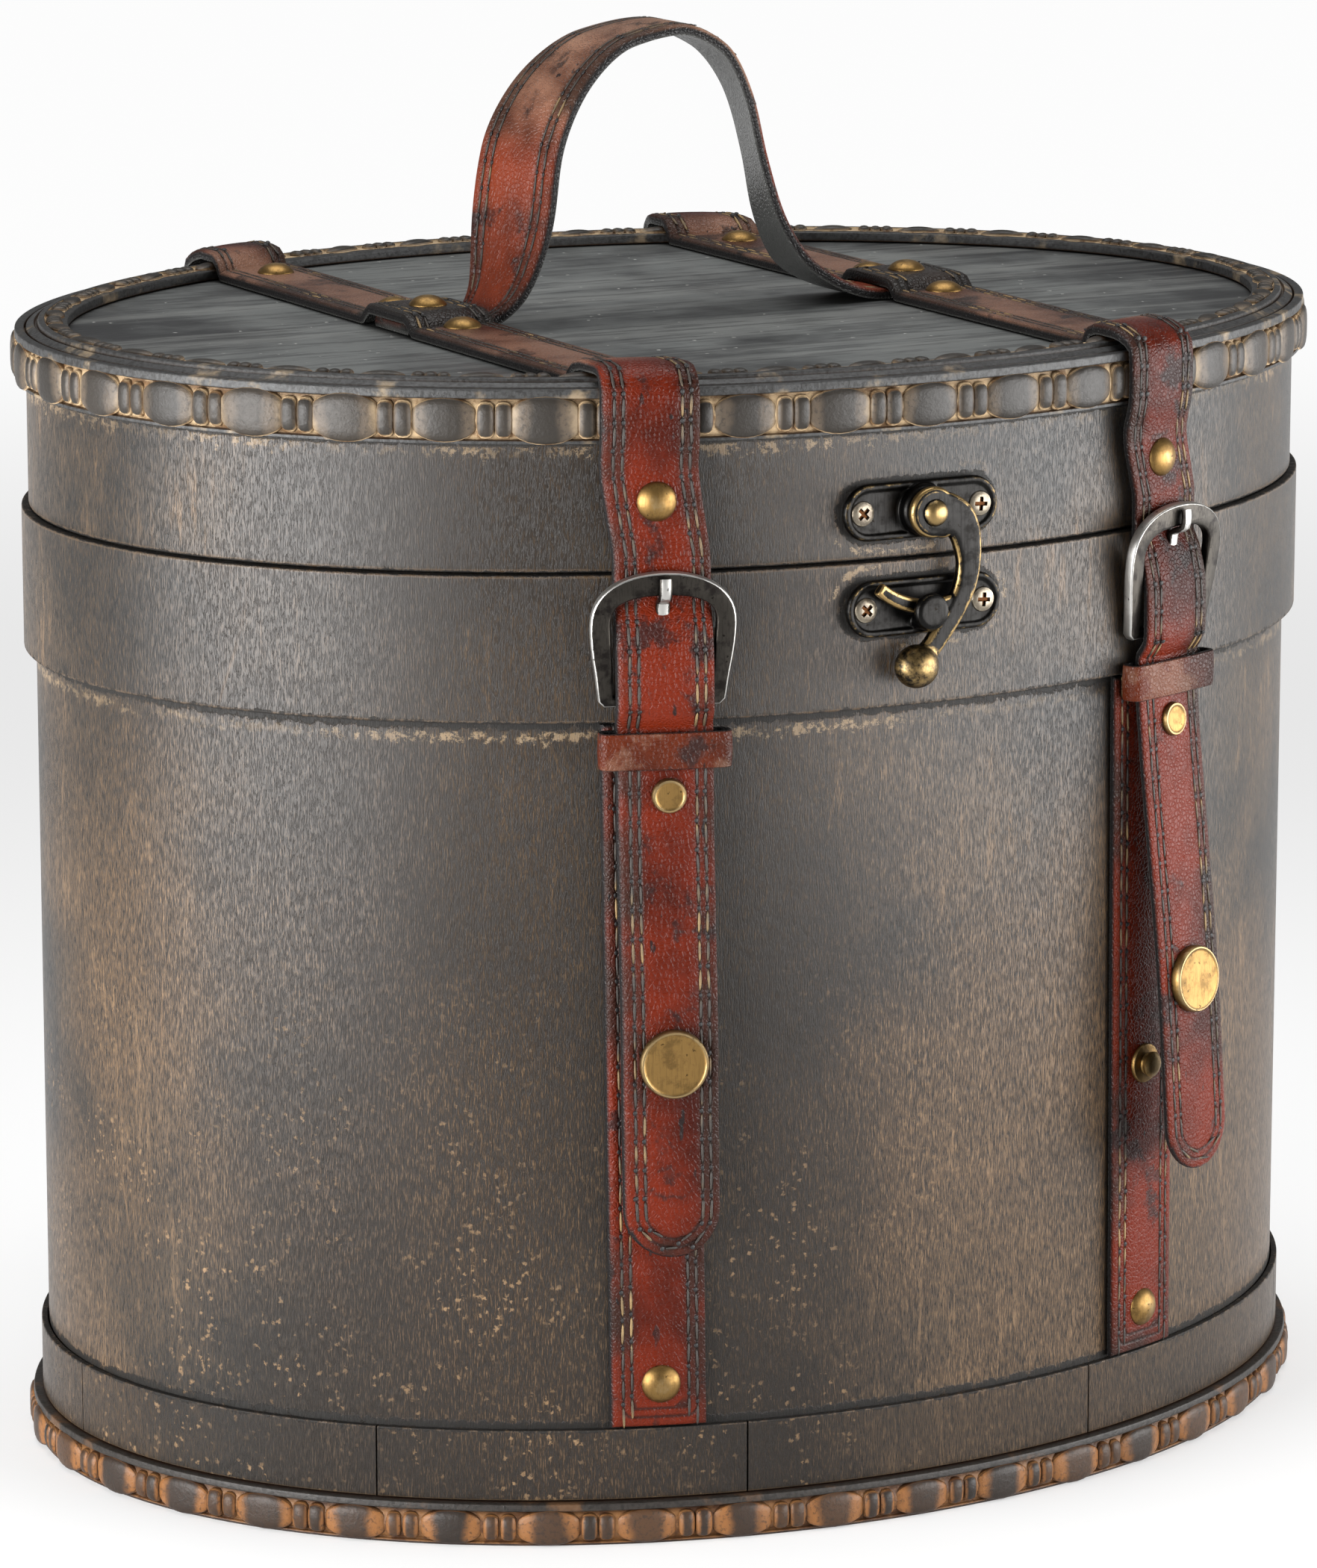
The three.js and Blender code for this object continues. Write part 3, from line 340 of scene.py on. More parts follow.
def wall_wood():
    """Dark stained walls: upright grain, brown rubs, tan flecks, dust at the fittings and crusted seams, with
    painted shade on the front, under overhangs, round the latch plates and in corners.
    """
    material, g, shader = new_material("wall_wood")
    grain = grain_of(g, 3900.0, 3900.0, 460.0, 20.0)
    x, y, z = g.place()
    place = g.here()
    brown = g.times(g.ramp(g.noise(place, 9.0, 4.0, 0.6), 0.36, 0.56), g.ramp(z, 230 * MM, 90 * MM))
    colour = g.mix(g.ramp(grain["Cloud"], 0.38, 0.64), rgb(0.009, 0.008, 0.007), rgb(0.040, 0.028, 0.018))
    colour = g.mix(g.times(brown, 0.7), colour, rgb(0.068, 0.041, 0.022))
    rub = g.times(g.ramp(grain["Streak"], 0.52, 0.70), g.ramp(grain["Cloud"], 0.44, 0.6))
    colour = g.mix(g.times(rub, 0.5), colour, rgb(0.17, 0.105, 0.055))
    pale = g.times(g.ramp(grain["Fibre"], 0.52, 0.68), g.blend(brown, 0.24, 0.7))
    colour = g.mix(pale, colour, rgb(0.20, 0.125, 0.066))
    furrow = g.ramp(grain["Fibre"], 0.50, 0.40)
    colour = g.mix(g.times(furrow, 0.85), colour, rgb(0.004, 0.0035, 0.003))
    lower = g.times(g.ramp(x, 60 * MM, -60 * MM), g.ramp(z, 150 * MM, 60 * MM))
    patchy = g.times(lower, g.ramp(g.noise(place, 45.0, 3.0), 0.4, 0.62))
    small = specks_of(g, 800.0, 0.5, 0.2)
    large = specks_of(g, 420.0, 0.33, 0.10)
    flecks = g.times(g.greatest(g.times(small, 0.7), large), patchy)
    scratch = g.times(g.near(g.noise(g.stretched((22.0, 22.0, 7.0)), 1.0, 1.0), 0.5, 0.004),
                      g.ramp(g.noise(place, 30.0, 2.0), 0.58, 0.68))
    colour = g.mix(g.times(scratch, 0.35), colour, rgb(0.20, 0.12, 0.06))

    # Painted shade on the front between the two lit sides, and a darker base band below its top edge
    facing = g.plus(g.times(x, FRONT.x), g.times(y, FRONT.y))
    taken = g.blend(g.ramp(grain["Fibre"], 0.50, 0.62), 0.92, 0.46)
    deep = g.times(g.ramp(facing, 98 * MM, 118 * MM), taken)
    deep = g.greatest(deep, g.times(g.ramp(z, BAND_HIGH + 1 * MM, BAND_HIGH), 0.5))
    colour = g.mix(deep, colour, rgb(0.009, 0.0055, 0.003))
    colour = g.mix(g.times(flecks, 0.6), colour, rgb(0.34, 0.21, 0.105))

    # Dust under the rim, below the collar and round the latch plates, then black in the seams at the lid and
    # the base band, under the collar and the side moulding and round the latch plates: partly crust, partly
    # painted shade
    grit = g.minus(g.noise(place, 420.0, 5.0, 0.8), 0.5)
    front = g.ramp(y, 0.0, -30 * MM)
    plates = g.least(around_plate(g, x, z, LATCH_Z), around_plate(g, x, z, CATCH_Z))
    halo = g.times(g.near(plates, 2.4 * MM, 2.4 * MM), g.ramp(g.noise(place, 70.0, 2.0), 0.42, 0.62))
    dusty = g.greatest(g.near(z, SIDE_LOW - 1.5 * MM, 5 * MM), g.near(z, COLLAR_LOW - 3.6 * MM, 3.6 * MM),
                       g.times(halo, front))
    dust = g.ramp(g.plus(dusty, g.times(grit, 4.0)), 0.85, 1.25)
    colour = g.mix(g.times(dust, g.blend(g.ramp(grain["Cloud"], 0.4, 0.6), 0.15, 0.65)), colour,
                   rgb(0.25, 0.175, 0.100))
    worn = worn_edge(g, 140.0, 0.3)
    colour = g.mix(worn, colour, rgb(0.12, 0.075, 0.040))
    crust_and_shade_places = g.greatest(g.near(z, COLLAR_LOW - 0.7 * MM, 3.0 * MM), g.near(z, LID_BOTTOM, 1.3 * MM),
                       g.near(z, BAND_HIGH + 0.6 * MM, 2.6 * MM), g.near(z, SIDE_LOW, 2.2 * MM),
                       g.times(g.ramp(plates, 2.4 * MM, 0.0), front))
    crust_and_shade = g.ramp(g.plus(crust_and_shade_places, g.times(grit, 2.2)), 0.6, 0.85)
    colour = g.mix(g.times(crust_and_shade, 0.95), colour, BLACK_DIRT_AND_SHADE)
    # Painted shade in corners and where parts meet, from the occlusion mask
    colour = with_shade_and_grime(g, colour, BLACK_DIRT_AND_SHADE, 1.2 * MM, 0.9)
    height = g.plus(g.minus(grain["Fibre"], g.times(furrow, 0.5)), g.times(g.noise(place, 330.0, 2.0), 1.2),
                    g.times(crust_and_shade, 1.5))
    roughness = g.plus(g.blend(grain["Fibre"], 0.40, 0.27), g.times(crust_and_shade, 0.3))
    finish_shader(g, shader, colour, roughness, g.bump(height, 0.06 * MM, 0.85), Specular_IOR_Level=0.3)
    return material


def panel_wood():
    """Slate grey stained top with streaks along the oval's length, pale dust, and painted shade next to the
    parts on it.
    """
    material, g, shader = new_material("panel_wood")
    grain = grain_of(g, 40.0, 420.0, 420.0, 13.0)
    colour = g.mix(g.ramp(grain["Cloud"], 0.40, 0.62), rgb(0.009, 0.010, 0.011), rgb(0.125, 0.132, 0.128))
    colour = g.mix(g.times(g.ramp(grain["Streak"], 0.46, 0.62), 0.5), colour, rgb(0.20, 0.205, 0.195))
    colour = g.mix(g.times(g.ramp(grain["Fibre"], 0.48, 0.62), 0.55), colour, rgb(0.008, 0.009, 0.010))
    dust = specks_of(g, 300.0, 0.17, 0.16)
    colour = g.mix(g.times(dust, 0.8), colour, rgb(0.5, 0.5, 0.47))
    # Painted shade next to the handle, straps and rims, from the occlusion mask
    colour = with_shade_and_grime(g, colour, BLACK_DIRT_AND_SHADE, 5 * MM, 0.9)
    normal = g.bump(g.minus(grain["Fibre"], grain["Pores"]), 0.12 * MM, 0.7)
    finish_shader(g, shader, colour, g.blend(grain["Fibre"], 0.34, 0.58), normal)
    return material


def carved_wood(name, crown, dark, recess, outline, fillet, band_share):
    """Carved moulding: dark bands painted on the barrels, pale ends, stain in recesses and outlines, and
    painted shade in its hollows.
    """
    material, g, shader = new_material(name)
    grain = grain_of(g, 1000.0, 1000.0, 1000.0, 70.0)
    place = g.here()
    relief = g.attribute("relief")
    along = g.math("ABSOLUTE", g.attribute("along"))
    shade = g.attribute("shade")
    uneven = g.minus(grain["Cloud"], 0.5)
    reach = g.plus(along, g.times(uneven, 0.9))
    band = g.times(g.ramp(reach, 0.70, 0.34), g.blend(shade, band_share, 1.0))
    colour = g.mix(band, crown, dark)
    colour = g.mix(g.times(g.ramp(grain["Fibre"], 0.5, 0.66), 0.6), colour, dark)
    colour = g.mix(g.times(g.ramp(reach, 0.72, 1.05), 0.45), colour, recess)
    low_down = g.plus(relief, g.times(uneven, 0.4))
    stained = g.mix(g.times(g.ramp(g.noise(place, 240.0, 4.0, 0.65), 0.46, 0.62), 0.85), recess, outline)
    colour = g.mix(g.ramp(low_down, 0.50, 0.18), colour, stained)
    colour = g.mix(g.times(g.near(low_down, 0.22, 0.2), 0.9), colour, darker(outline, 0.4))
    fine = g.mix(g.times(g.ramp(grain["Fibre"], 0.42, 0.62), 0.7), fillet, BLACK_DIRT_AND_SHADE)
    fine = g.mix(g.times(g.ramp(grain["Cloud"], 0.56, 0.68), 0.35), fine, recess)
    colour = g.mix(g.attribute("edge"), colour, fine)
    # Painted shade in the carving's hollows, from the occlusion mask
    colour = with_shade_and_grime(g, colour, darker(outline, 0.35), 1.6 * MM, 0.9)
    normal = g.bump(grain["Fibre"], 0.16 * MM, 0.9)
    finish_shader(g, shader, colour, g.blend(grain["Fibre"], 0.34, 0.56), normal, Specular_IOR_Level=0.3)
    return material


# Leather
def leather(name, ground, tan, wear):
    """Aged red leather: pebbled hide, dark margins and stains, black cut edges, a rubbed tan part and painted
    shade where parts meet it.
    """
    material, g, shader = new_material(name)
    place = g.here()
    hide = grouped(g, HIDE, {"Scale": 1000.0})
    inset = g.attribute("inset")
    lining = g.attribute("lining")
    colour = g.mix(g.ramp(hide["Wide"], 0.40, 0.64), ground, darker(ground, 0.25))
    upper, hump = wear(g, hide)
    colour = g.mix(g.times(upper, 0.8), colour, tan)
    margin = g.times(g.ramp(inset, 6.0 * MM, 3.2 * MM), g.ramp(hide["Wide"], 0.34, 0.58))
    colour = g.mix(g.times(margin, 0.8), colour, rgb(0.020, 0.011, 0.008))
    groove = g.greatest(*(g.near(inset, row, 0.6 * MM) for row in STITCH_INSETS))
    colour = g.mix(g.times(groove, 0.75), colour, rgb(0.010, 0.007, 0.006))
    dashes = g.ramp(g.noise(g.stretched((420.0, 420.0, 150.0)), 1.0, 2.0, 0.5), 0.66, 0.70)
    dashes = g.times(dashes, g.ramp(g.noise(place, 30.0, 2.0), 0.46, 0.60))
    stain = g.greatest(g.times(g.ramp(hide["Blot"], 0.57, 0.66), 0.85), dashes)
    colour = g.mix(g.times(stain, 0.92), colour, rgb(0.010, 0.008, 0.008))
    colour = g.mix(g.times(hump, 0.93), colour, rgb(0.012, 0.011, 0.010))
    # Painted shade round the rivets and where parts meet the leather, from the occlusion mask
    colour = with_shade_and_grime(g, colour, BLACK_DIRT_AND_SHADE, 1.6 * MM, 0.85)
    colour = g.mix(g.attribute("cut"), colour, rgb(0.012, 0.011, 0.011))
    colour = g.mix(lining, colour, rgb(0.060, 0.060, 0.057))
    normal = g.bump(g.minus(hide["Pebble"], g.times(groove, 2.0)), 0.13 * MM, 0.75)
    roughness = g.blend(lining, g.blend(hide["Pebble"], 0.46, 0.28), 0.27)
    finish_shader(g, shader, colour, roughness, normal, Specular_IOR_Level=0.14)
    return material


def strap_wear(g, hide):
    """Straps are rubbed tan where they lie on the lid, and black over the handle's ends."""
    _, y, z = g.place()
    inside_rim = g.ramp(g.math("ABSOLUTE", y), 104 * MM, 92 * MM)
    on_lid = g.times(g.ramp(z, PANEL_TOP - 1 * MM, PANEL_TOP + 1 * MM), inside_rim)
    hump = g.times(on_lid, g.ramp(g.apart(y, HUMP_Y), 18 * MM, 14 * MM))
    return g.times(on_lid, g.ramp(hide["Wide"], 0.74, 0.46)), hump


def handle_wear(g, hide):
    """The handle is rubbed tan at its crown."""
    z = g.place()["Z"]
    return g.times(g.ramp(z, 290 * MM, 311 * MM), g.ramp(hide["Wide"], 0.72, 0.42)), 0.0


def keeper_wear(g, hide):
    """Keepers are rubbed a little in patches."""
    return g.times(g.ramp(hide["Blot"], 0.5, 0.4), 0.25), 0.0


def thread():
    """Dark waxed thread with paler, rubbed stitches; the marks beside them are black, as painted shade of the
    stitch holes.
    """
    material, g, shader = new_material("thread")
    place = g.here()
    rubbed = g.ramp(g.noise(place, 60.0, 3.0, 0.6), 0.48, 0.66)
    colour = g.mix(rubbed, rgb(0.020, 0.015, 0.011), rgb(0.22, 0.14, 0.055))
    # The marks beside the stitches are painted black as the shade of the holes
    colour = g.mix(g.attribute("hole"), colour, rgb(0.005, 0.004, 0.004))
    finish_shader(g, shader, colour, 0.6, g.bump(g.noise(place, 3000.0, 2.0), 0.05 * MM))
    return material


# Metal
def worn_metal(name, bright, dull, dark, dirt_and_shade, roughness, shade_and_grime):
    """Metal with a brushed, patchy patina, dirt and painted shade in its corners, and edges rubbed bright by
    the edge values.
    """
    material, g, shader = new_material(name)
    place = g.here()
    patches = g.noise(place, 300.0, 5.0, 0.65)
    brushed = g.noise(g.stretched((2600.0, 2600.0, 170.0)), 1.0, 3.0, 0.6)
    fine = g.noise(place, 2200.0, 3.0, 0.6)
    colour = g.mix(g.ramp(patches, 0.46, 0.66), dull, dark)
    colour = g.mix(g.times(g.ramp(brushed, 0.48, 0.66), 0.5), colour, dark)
    edge = worn_edge(g, 500.0, 1.0)
    colour = g.mix(edge, colour, bright)
    spots = specks_of(g, 800.0, 0.3, 0.14)
    # Dirt specks, and in screw slots rust with painted shade
    colour = g.mix(g.greatest(g.times(spots, 0.8), g.attribute("hole")), colour, dirt_and_shade)
    # Dirt and painted shade in corners, from the occlusion mask
    colour = with_shade_and_grime(g, colour, dirt_and_shade, 1.2 * MM, shade_and_grime)
    rough = g.plus(g.blend(patches, roughness - 0.1, roughness + 0.1), g.times(brushed, 0.12))
    normal = g.bump(g.plus(fine, brushed), 0.03 * MM, 0.5)
    finish_shader(g, shader, colour, rough, normal, Metallic=1.0)
    return material


WALL = wall_wood()
PANEL = panel_wood()
LID_CARVING = carved_wood(
    "lid_moulding_wood", rgb(0.072, 0.054, 0.038), rgb(0.015, 0.0125, 0.010), rgb(0.50, 0.365, 0.215),
    rgb(0.12, 0.056, 0.020), rgb(0.034, 0.034, 0.034), 0.8)
BASE_CARVING = carved_wood(
    "base_moulding_wood", rgb(0.20, 0.083, 0.025), rgb(0.014, 0.011, 0.009), rgb(0.20, 0.092, 0.032),
    rgb(0.060, 0.022, 0.008), rgb(0.024, 0.020, 0.017), 0.75)
HUMP_Y = middle("handle_rivet_right_middle").y
STRAP_LEATHER = leather("strap_leather", rgb(0.104, 0.0105, 0.0025), rgb(0.215, 0.120, 0.080), strap_wear)
HANDLE_LEATHER = leather("handle_leather", rgb(0.150, 0.026, 0.010), rgb(0.27, 0.165, 0.11), handle_wear)
KEEPER_LEATHER = leather("keeper_leather", rgb(0.070, 0.012, 0.0035), rgb(0.27, 0.165, 0.11), keeper_wear)
THREAD = thread()
BRASS = worn_metal("rivet_brass", rgb(0.27, 0.192, 0.094), rgb(0.23, 0.138, 0.047), rgb(0.13, 0.078, 0.028),
                   rgb(0.03, 0.018, 0.008), 0.38, 0.95)
BRONZE = worn_metal("latch_bronze", rgb(0.28, 0.190, 0.080), rgb(0.014, 0.0135, 0.013),
                    rgb(0.007, 0.0066, 0.0062), rgb(0.005, 0.004, 0.003), 0.30, 0.85)
GUNMETAL = worn_metal("buckle_gunmetal", rgb(0.44, 0.43, 0.41), rgb(0.040, 0.036, 0.031),
                      rgb(0.015, 0.013, 0.012), rgb(0.006, 0.005, 0.004), 0.34, 0.6)
NICKEL = worn_metal("screw_nickel", rgb(0.46, 0.40, 0.31), rgb(0.22, 0.19, 0.145), rgb(0.12, 0.10, 0.08),
                    rgb(0.032, 0.013, 0.005), 0.30, 1.0)


# Meshes and objects
def linked(name, data):
    obj = bpy.data.objects.new(name, data)
    bpy.context.collection.objects.link(obj)
    return obj


def settled(obj):
    """The plain mesh that an object and its modifiers make. The object is removed."""
    bpy.context.view_layer.update()
    mesh = bpy.data.meshes.new_from_object(obj.evaluated_get(bpy.context.evaluated_depsgraph_get()))
    obj.modifiers.clear()
    bpy.data.objects.remove(obj)
    return mesh


def outward(mesh, weld=0.0):
    """Turns the faces outwards, once points nearer than the weld are joined."""
    work = bmesh.new()
    work.from_mesh(mesh)
    if weld:
        bmesh.ops.remove_doubles(work, verts=work.verts, dist=weld)
    bmesh.ops.recalc_face_normals(work, faces=work.faces)
    work.to_mesh(mesh)
    work.free()


def set_values(mesh, title, numbers):
    attribute = mesh.attributes.get(title) or mesh.attributes.new(title, "FLOAT", "POINT")
    attribute.data.foreach_set("value", numbers)


def smooth(mesh, angle=35.0):
    mesh.polygons.foreach_set("use_smooth", [True] * len(mesh.polygons))
    mesh.set_sharp_from_angle(angle=math.radians(angle))


def loft(name, rings, looped=False, values=None):
    """Joins closed rings of points into a skin, looped from the last to the first or else capped."""
    count = len(rings[0])
    points = [point for ring in rings for point in ring]
    faces = []
    for i in range(len(rings) if looped else len(rings) - 1):
        here = i * count
        there = (i + 1) % len(rings) * count
        for j in range(count):
            k = (j + 1) % count
            faces.append((here + j, here + k, there + k, there + j))
    if not looped:
        faces.append(tuple(reversed(range(count))))
        faces.append(tuple(range(len(points) - count, len(points))))
    mesh = bpy.data.meshes.new(name)
    mesh.from_pydata(points, [], faces)
    for title, numbers in (values or {}).items():
        set_values(mesh, title, numbers)
    outward(mesh)
    smooth(mesh)
    return mesh


def joined(name, meshes):
    """One mesh of several, with their attributes."""
    objects = [linked(name, mesh) for mesh in meshes]
    with bpy.context.temp_override(active_object=objects[0], selected_editable_objects=objects):
        bpy.ops.object.join()
    mesh = objects[0].data
    bpy.data.objects.remove(objects[0])
    return mesh


def add_piece(name, mesh, material, nodes=()):
    mesh.name = name
    if material is not None:
        mesh.materials.clear()
        mesh.materials.append(material)
    piece = linked(name, mesh)
    if nodes:
        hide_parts(*nodes)
    return piece


def put(name, mesh, material, body, nodes=()):
    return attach(add_piece(name, mesh, material, nodes), body)


# The oval shell
RING_STEPS = 288


def oval(angle, offset, z):
    return Vector(((HALF_LENGTH + offset) * math.cos(angle), (HALF_WIDTH + offset) * math.sin(angle), z))


def oval_y(x, offset):
    return (HALF_WIDTH + offset) * math.sqrt(max(0.0, 1 - (x / (HALF_LENGTH + offset)) ** 2))


def rounded(corners, radius, steps=3):
    """A closed section of (offset, z, edge) points with round corners; the edge value is 1 on the rounds."""
    made = []
    for i, corner in enumerate(corners):
        here = Vector(corner)
        back = Vector(corners[i - 1]) - here
        on = Vector(corners[(i + 1) % len(corners)]) - here
        size = min(radius, back.length / 6, on.length / 6)
        first = here + back.normalized() * size
        last = here + on.normalized() * size
        made.append((*(here + back.normalized() * size * 2.5), 0.0))
        for step in range(steps + 1):
            t = step / steps
            made.append((*(first * (1 - t) ** 2 + here * 2 * t * (1 - t) + last * t ** 2), 1.0))
        made.append((*(here + on.normalized() * size * 2.5), 0.0))
    return made


def oval_ring(name, section, first=0.0, last=None):
    """Sweeps a section of (offset, z, value) points round the oval, or along a part of it."""
    looped = last is None
    turn = math.tau if looped else last - first
    steps = RING_STEPS if looped else max(2, round(RING_STEPS * turn / math.tau))
    rings = []
    for i in range(steps if looped else steps + 1):
        angle = first + turn * i / steps
        rings.append([oval(angle, o, z) for o, z, _ in section])
    values = {"edge": [v for _ in rings for _, _, v in section]}
    return loft(name, rings, looped, values)


def box_section(inner, outer, bottom, top, radius):
    return rounded([(inner, bottom), (outer, bottom), (outer, top), (inner, top)], radius)


put("body_wall_wood", oval_ring("body_wall", box_section(-WALL_THICK, 0.0, 0.0, BODY_TOP, 0.8 * MM)),
    WALL, "box_body", ["body_wall"])
put("collar_wood", oval_ring("collar", box_section(GAP, COLLAR_OUT, COLLAR_LOW, BODY_TOP, 0.5 * MM)),
    WALL, "box_body", ["collar_band"])
lid_section = box_section(LID_OUT - WALL_THICK, LID_OUT, LID_BOTTOM, PANEL_TOP, 0.6 * MM)
put("lid_wall_wood", oval_ring("lid_wall", lid_section), WALL, "lid", ["lid_wall"])

# The base band is bent on in lengths that meet at butt joints; the first four are on the photo's side
BAND_JOINTS = [-178.0, -138.5, -105.5, -71.7, -32.0, 12.0, 58.0, 104.0, 147.0]
BAND_JOINT_HALF = 0.2 * MM / HALF_LENGTH
band_section = box_section(GAP, BAND_OUT, low("base_band").z, high("base_band").z, 0.4 * MM)
band_parts = []
for number, start in enumerate(BAND_JOINTS):
    end = BAND_JOINTS[(number + 1) % len(BAND_JOINTS)]
    end += 360 if end < start else 0
    band_parts.append(oval_ring("band", band_section, math.radians(start) + BAND_JOINT_HALF,
                                math.radians(end) - BAND_JOINT_HALF))
put("base_band_wood", joined("base_band", band_parts), WALL, "box_body", ["base_band"])

# The top panel is a disc of nested ovals, so that its rounded rim and flat faces are one skin
panel_low = low("top_panel").z
PANEL_ROUND = 0.4 * MM
PANEL_INNER = (-90 * MM, -45 * MM, PANEL_OUT - PANEL_ROUND)
panel_levels = [(out, panel_low) for out in PANEL_INNER]
panel_levels += [(PANEL_OUT, panel_low + PANEL_ROUND), (PANEL_OUT, PANEL_TOP - PANEL_ROUND)]
panel_levels += [(out, PANEL_TOP) for out in reversed(PANEL_INNER)]
panel_rings = [[oval(math.tau * i / RING_STEPS, o, z) for i in range(RING_STEPS)] for o, z in panel_levels]
put("top_panel_wood", loft("top_panel", panel_rings), PANEL, "lid", ["top_panel"])


# Geometry node trees
def geometry_tree(name, inputs, build):
    """A tree with a mesh in, named inputs, and a mesh out that ends in Realize Instances and Set Material."""
    tree = bpy.data.node_groups.new(name, "GeometryNodeTree")
    tree.interface.new_socket("Geometry", in_out="INPUT", socket_type="NodeSocketGeometry")
    for title, kind in inputs.items():
        tree.interface.new_socket(title, in_out="INPUT", socket_type="NodeSocket" + kind)
    tree.interface.new_socket("Material", in_out="INPUT", socket_type="NodeSocketMaterial")
    tree.interface.new_socket("Geometry", in_out="OUTPUT", socket_type="NodeSocketGeometry")
    g = Graph(tree)
    given = g.add("NodeGroupInput").outputs
    made = build(g, given)
    real = g.add("GeometryNodeRealizeInstances", {"Geometry": made}).outputs[0]
    painted = g.add("GeometryNodeSetMaterial", {"Geometry": real, "Material": given["Material"]}).outputs[0]
    g.add("NodeGroupOutput", {"Geometry": painted})
    return tree


def grown(name, tree, base, material, **values):
    """The plain mesh that a tree makes from a base mesh."""
    obj = linked(name, base)
    modifier = obj.modifiers.new(name, "NODES")
    modifier.node_group = tree
    values["Material"] = material
    for socket in tree.interface.items_tree:
        title = socket.name.replace(" ", "_")
        if socket.in_out == "INPUT" and title in values:
            modifier[socket.identifier] = values[title]
    return settled(obj)


def named_vector(g, name):
    return g.add("GeometryNodeInputNamedAttribute", {"Name": name}, data_type="FLOAT_VECTOR").outputs[0]


def chance(g, seed, least=0.0, most=1.0):
    """A random value for each point."""
    return g.add("FunctionNodeRandomValue", {2: least, 3: most, "Seed": seed}, data_type="FLOAT").outputs[1]


def turned_to(g, out, along, axis, spin):
    """The rotation whose third axis points out and whose named axis points along, spun about the third."""
    inputs = {0: out, 1: along}
    turn = g.add("FunctionNodeAxesToRotation", inputs, primary_axis="Z", secondary_axis=axis).outputs[0]
    about = g.add("FunctionNodeAxisAngleToRotation", {"Axis": (0.0, 0.0, 1.0), "Angle": spin}).outputs[0]
    return g.add("FunctionNodeRotateRotation", {0: turn, 1: about}, rotation_space="LOCAL").outputs[0]


def set_at(g, points, form, rotation, scale=(1.0, 1.0, 1.0)):
    inputs = {"Points": points, "Instance": form, "Rotation": rotation, "Scale": scale}
    return g.add("GeometryNodeInstanceOnPoints", inputs).outputs[0]


def soft_cube(g, level, crease):
    cube = g.add("GeometryNodeMeshCube", {"Size": (1.0, 1.0, 1.0)}).outputs[0]
    inputs = {"Mesh": cube, "Level": level, "Edge Crease": crease}
    return g.add("GeometryNodeSubdivisionSurface", inputs).outputs[0]


def stored(g, geometry, name, value, domain="POINT"):
    inputs = {"Geometry": geometry, "Name": name, "Value": value}
    return g.add("GeometryNodeStoreNamedAttribute", inputs, data_type="FLOAT", domain=domain).outputs[0]


def knob(g, given, length, height, crease, taper, level):
    """A rounded carved form: x along the moulding, y up and z out, narrower towards its ends by the taper."""
    at = g.add("GeometryNodeInputPosition").outputs[0]
    x, _, z = g.add("ShaderNodeSeparateXYZ", {0: at}).outputs
    stand = g.minus(g.times(z, 2.0), given["Sink"])
    relief = g.math("DIVIDE", stand, g.minus(0.85, given["Sink"]))
    marked = stored(g, soft_cube(g, level, crease), "relief", relief)
    marked = stored(g, marked, "along", g.times(x, 2.0))
    narrow = g.minus(1.0, g.times(x, x, 4.0, taper))
    size = g.combine(length, height, g.times(given["Depth"], 2.0))
    shaped = g.vector("MULTIPLY", g.vector("MULTIPLY", at, size), g.combine(1.0, narrow, narrow))
    sized = g.add("GeometryNodeSetPosition", {"Geometry": marked, "Position": shaped}).outputs[0]
    return g.add("GeometryNodeSetShadeSmooth", {0: sized}).outputs[0]


def set_round(g, given, form, phase, seed, lean=0.0):
    """Sets a form round the oval at even steps of its length, facing outwards."""
    circle = g.add("GeometryNodeCurvePrimitiveCircle", {"Resolution": 720, "Radius": 1.0}).outputs[0]
    scale = g.combine(given["Half Length"], given["Half Width"], 1.0)
    rail = g.add("GeometryNodeTransform", {"Geometry": circle, "Scale": scale}).outputs[0]
    length = g.add("GeometryNodeCurveLength", {0: rail}).outputs[0]
    points = g.add("GeometryNodePoints", {"Count": given["Count"]}).outputs[0]
    share = g.math("DIVIDE", g.plus(g.add("GeometryNodeInputIndex").outputs[0], phase), given["Count"])
    inputs = {"Curves": rail, "Length": g.times(g.math("FRACT", share), length)}
    sample = g.add("GeometryNodeSampleCurve", inputs, mode="LENGTH", use_all_curves=True).outputs
    inputs = {"Vector": (0.0, 0.0, 1.0), "Axis": sample["Tangent"], "Angle": given["Tilt"]}
    up = g.add("ShaderNodeVectorRotate", inputs).outputs[0]
    out = g.vector("CROSS_PRODUCT", sample["Tangent"], up)
    turn = turned_to(g, out, sample["Tangent"], "X", lean)
    place = g.vector("ADD", sample["Position"], g.combine(0.0, 0.0, given["Height"]))
    placed = g.add("GeometryNodeSetPosition", {"Geometry": points, "Position": place}).outputs[0]
    spread = set_at(g, placed, form, turn, chance(g, seed, 0.93, 1.05))
    return stored(g, spread, "shade", chance(g, g.plus(seed, 7)), "INSTANCE")


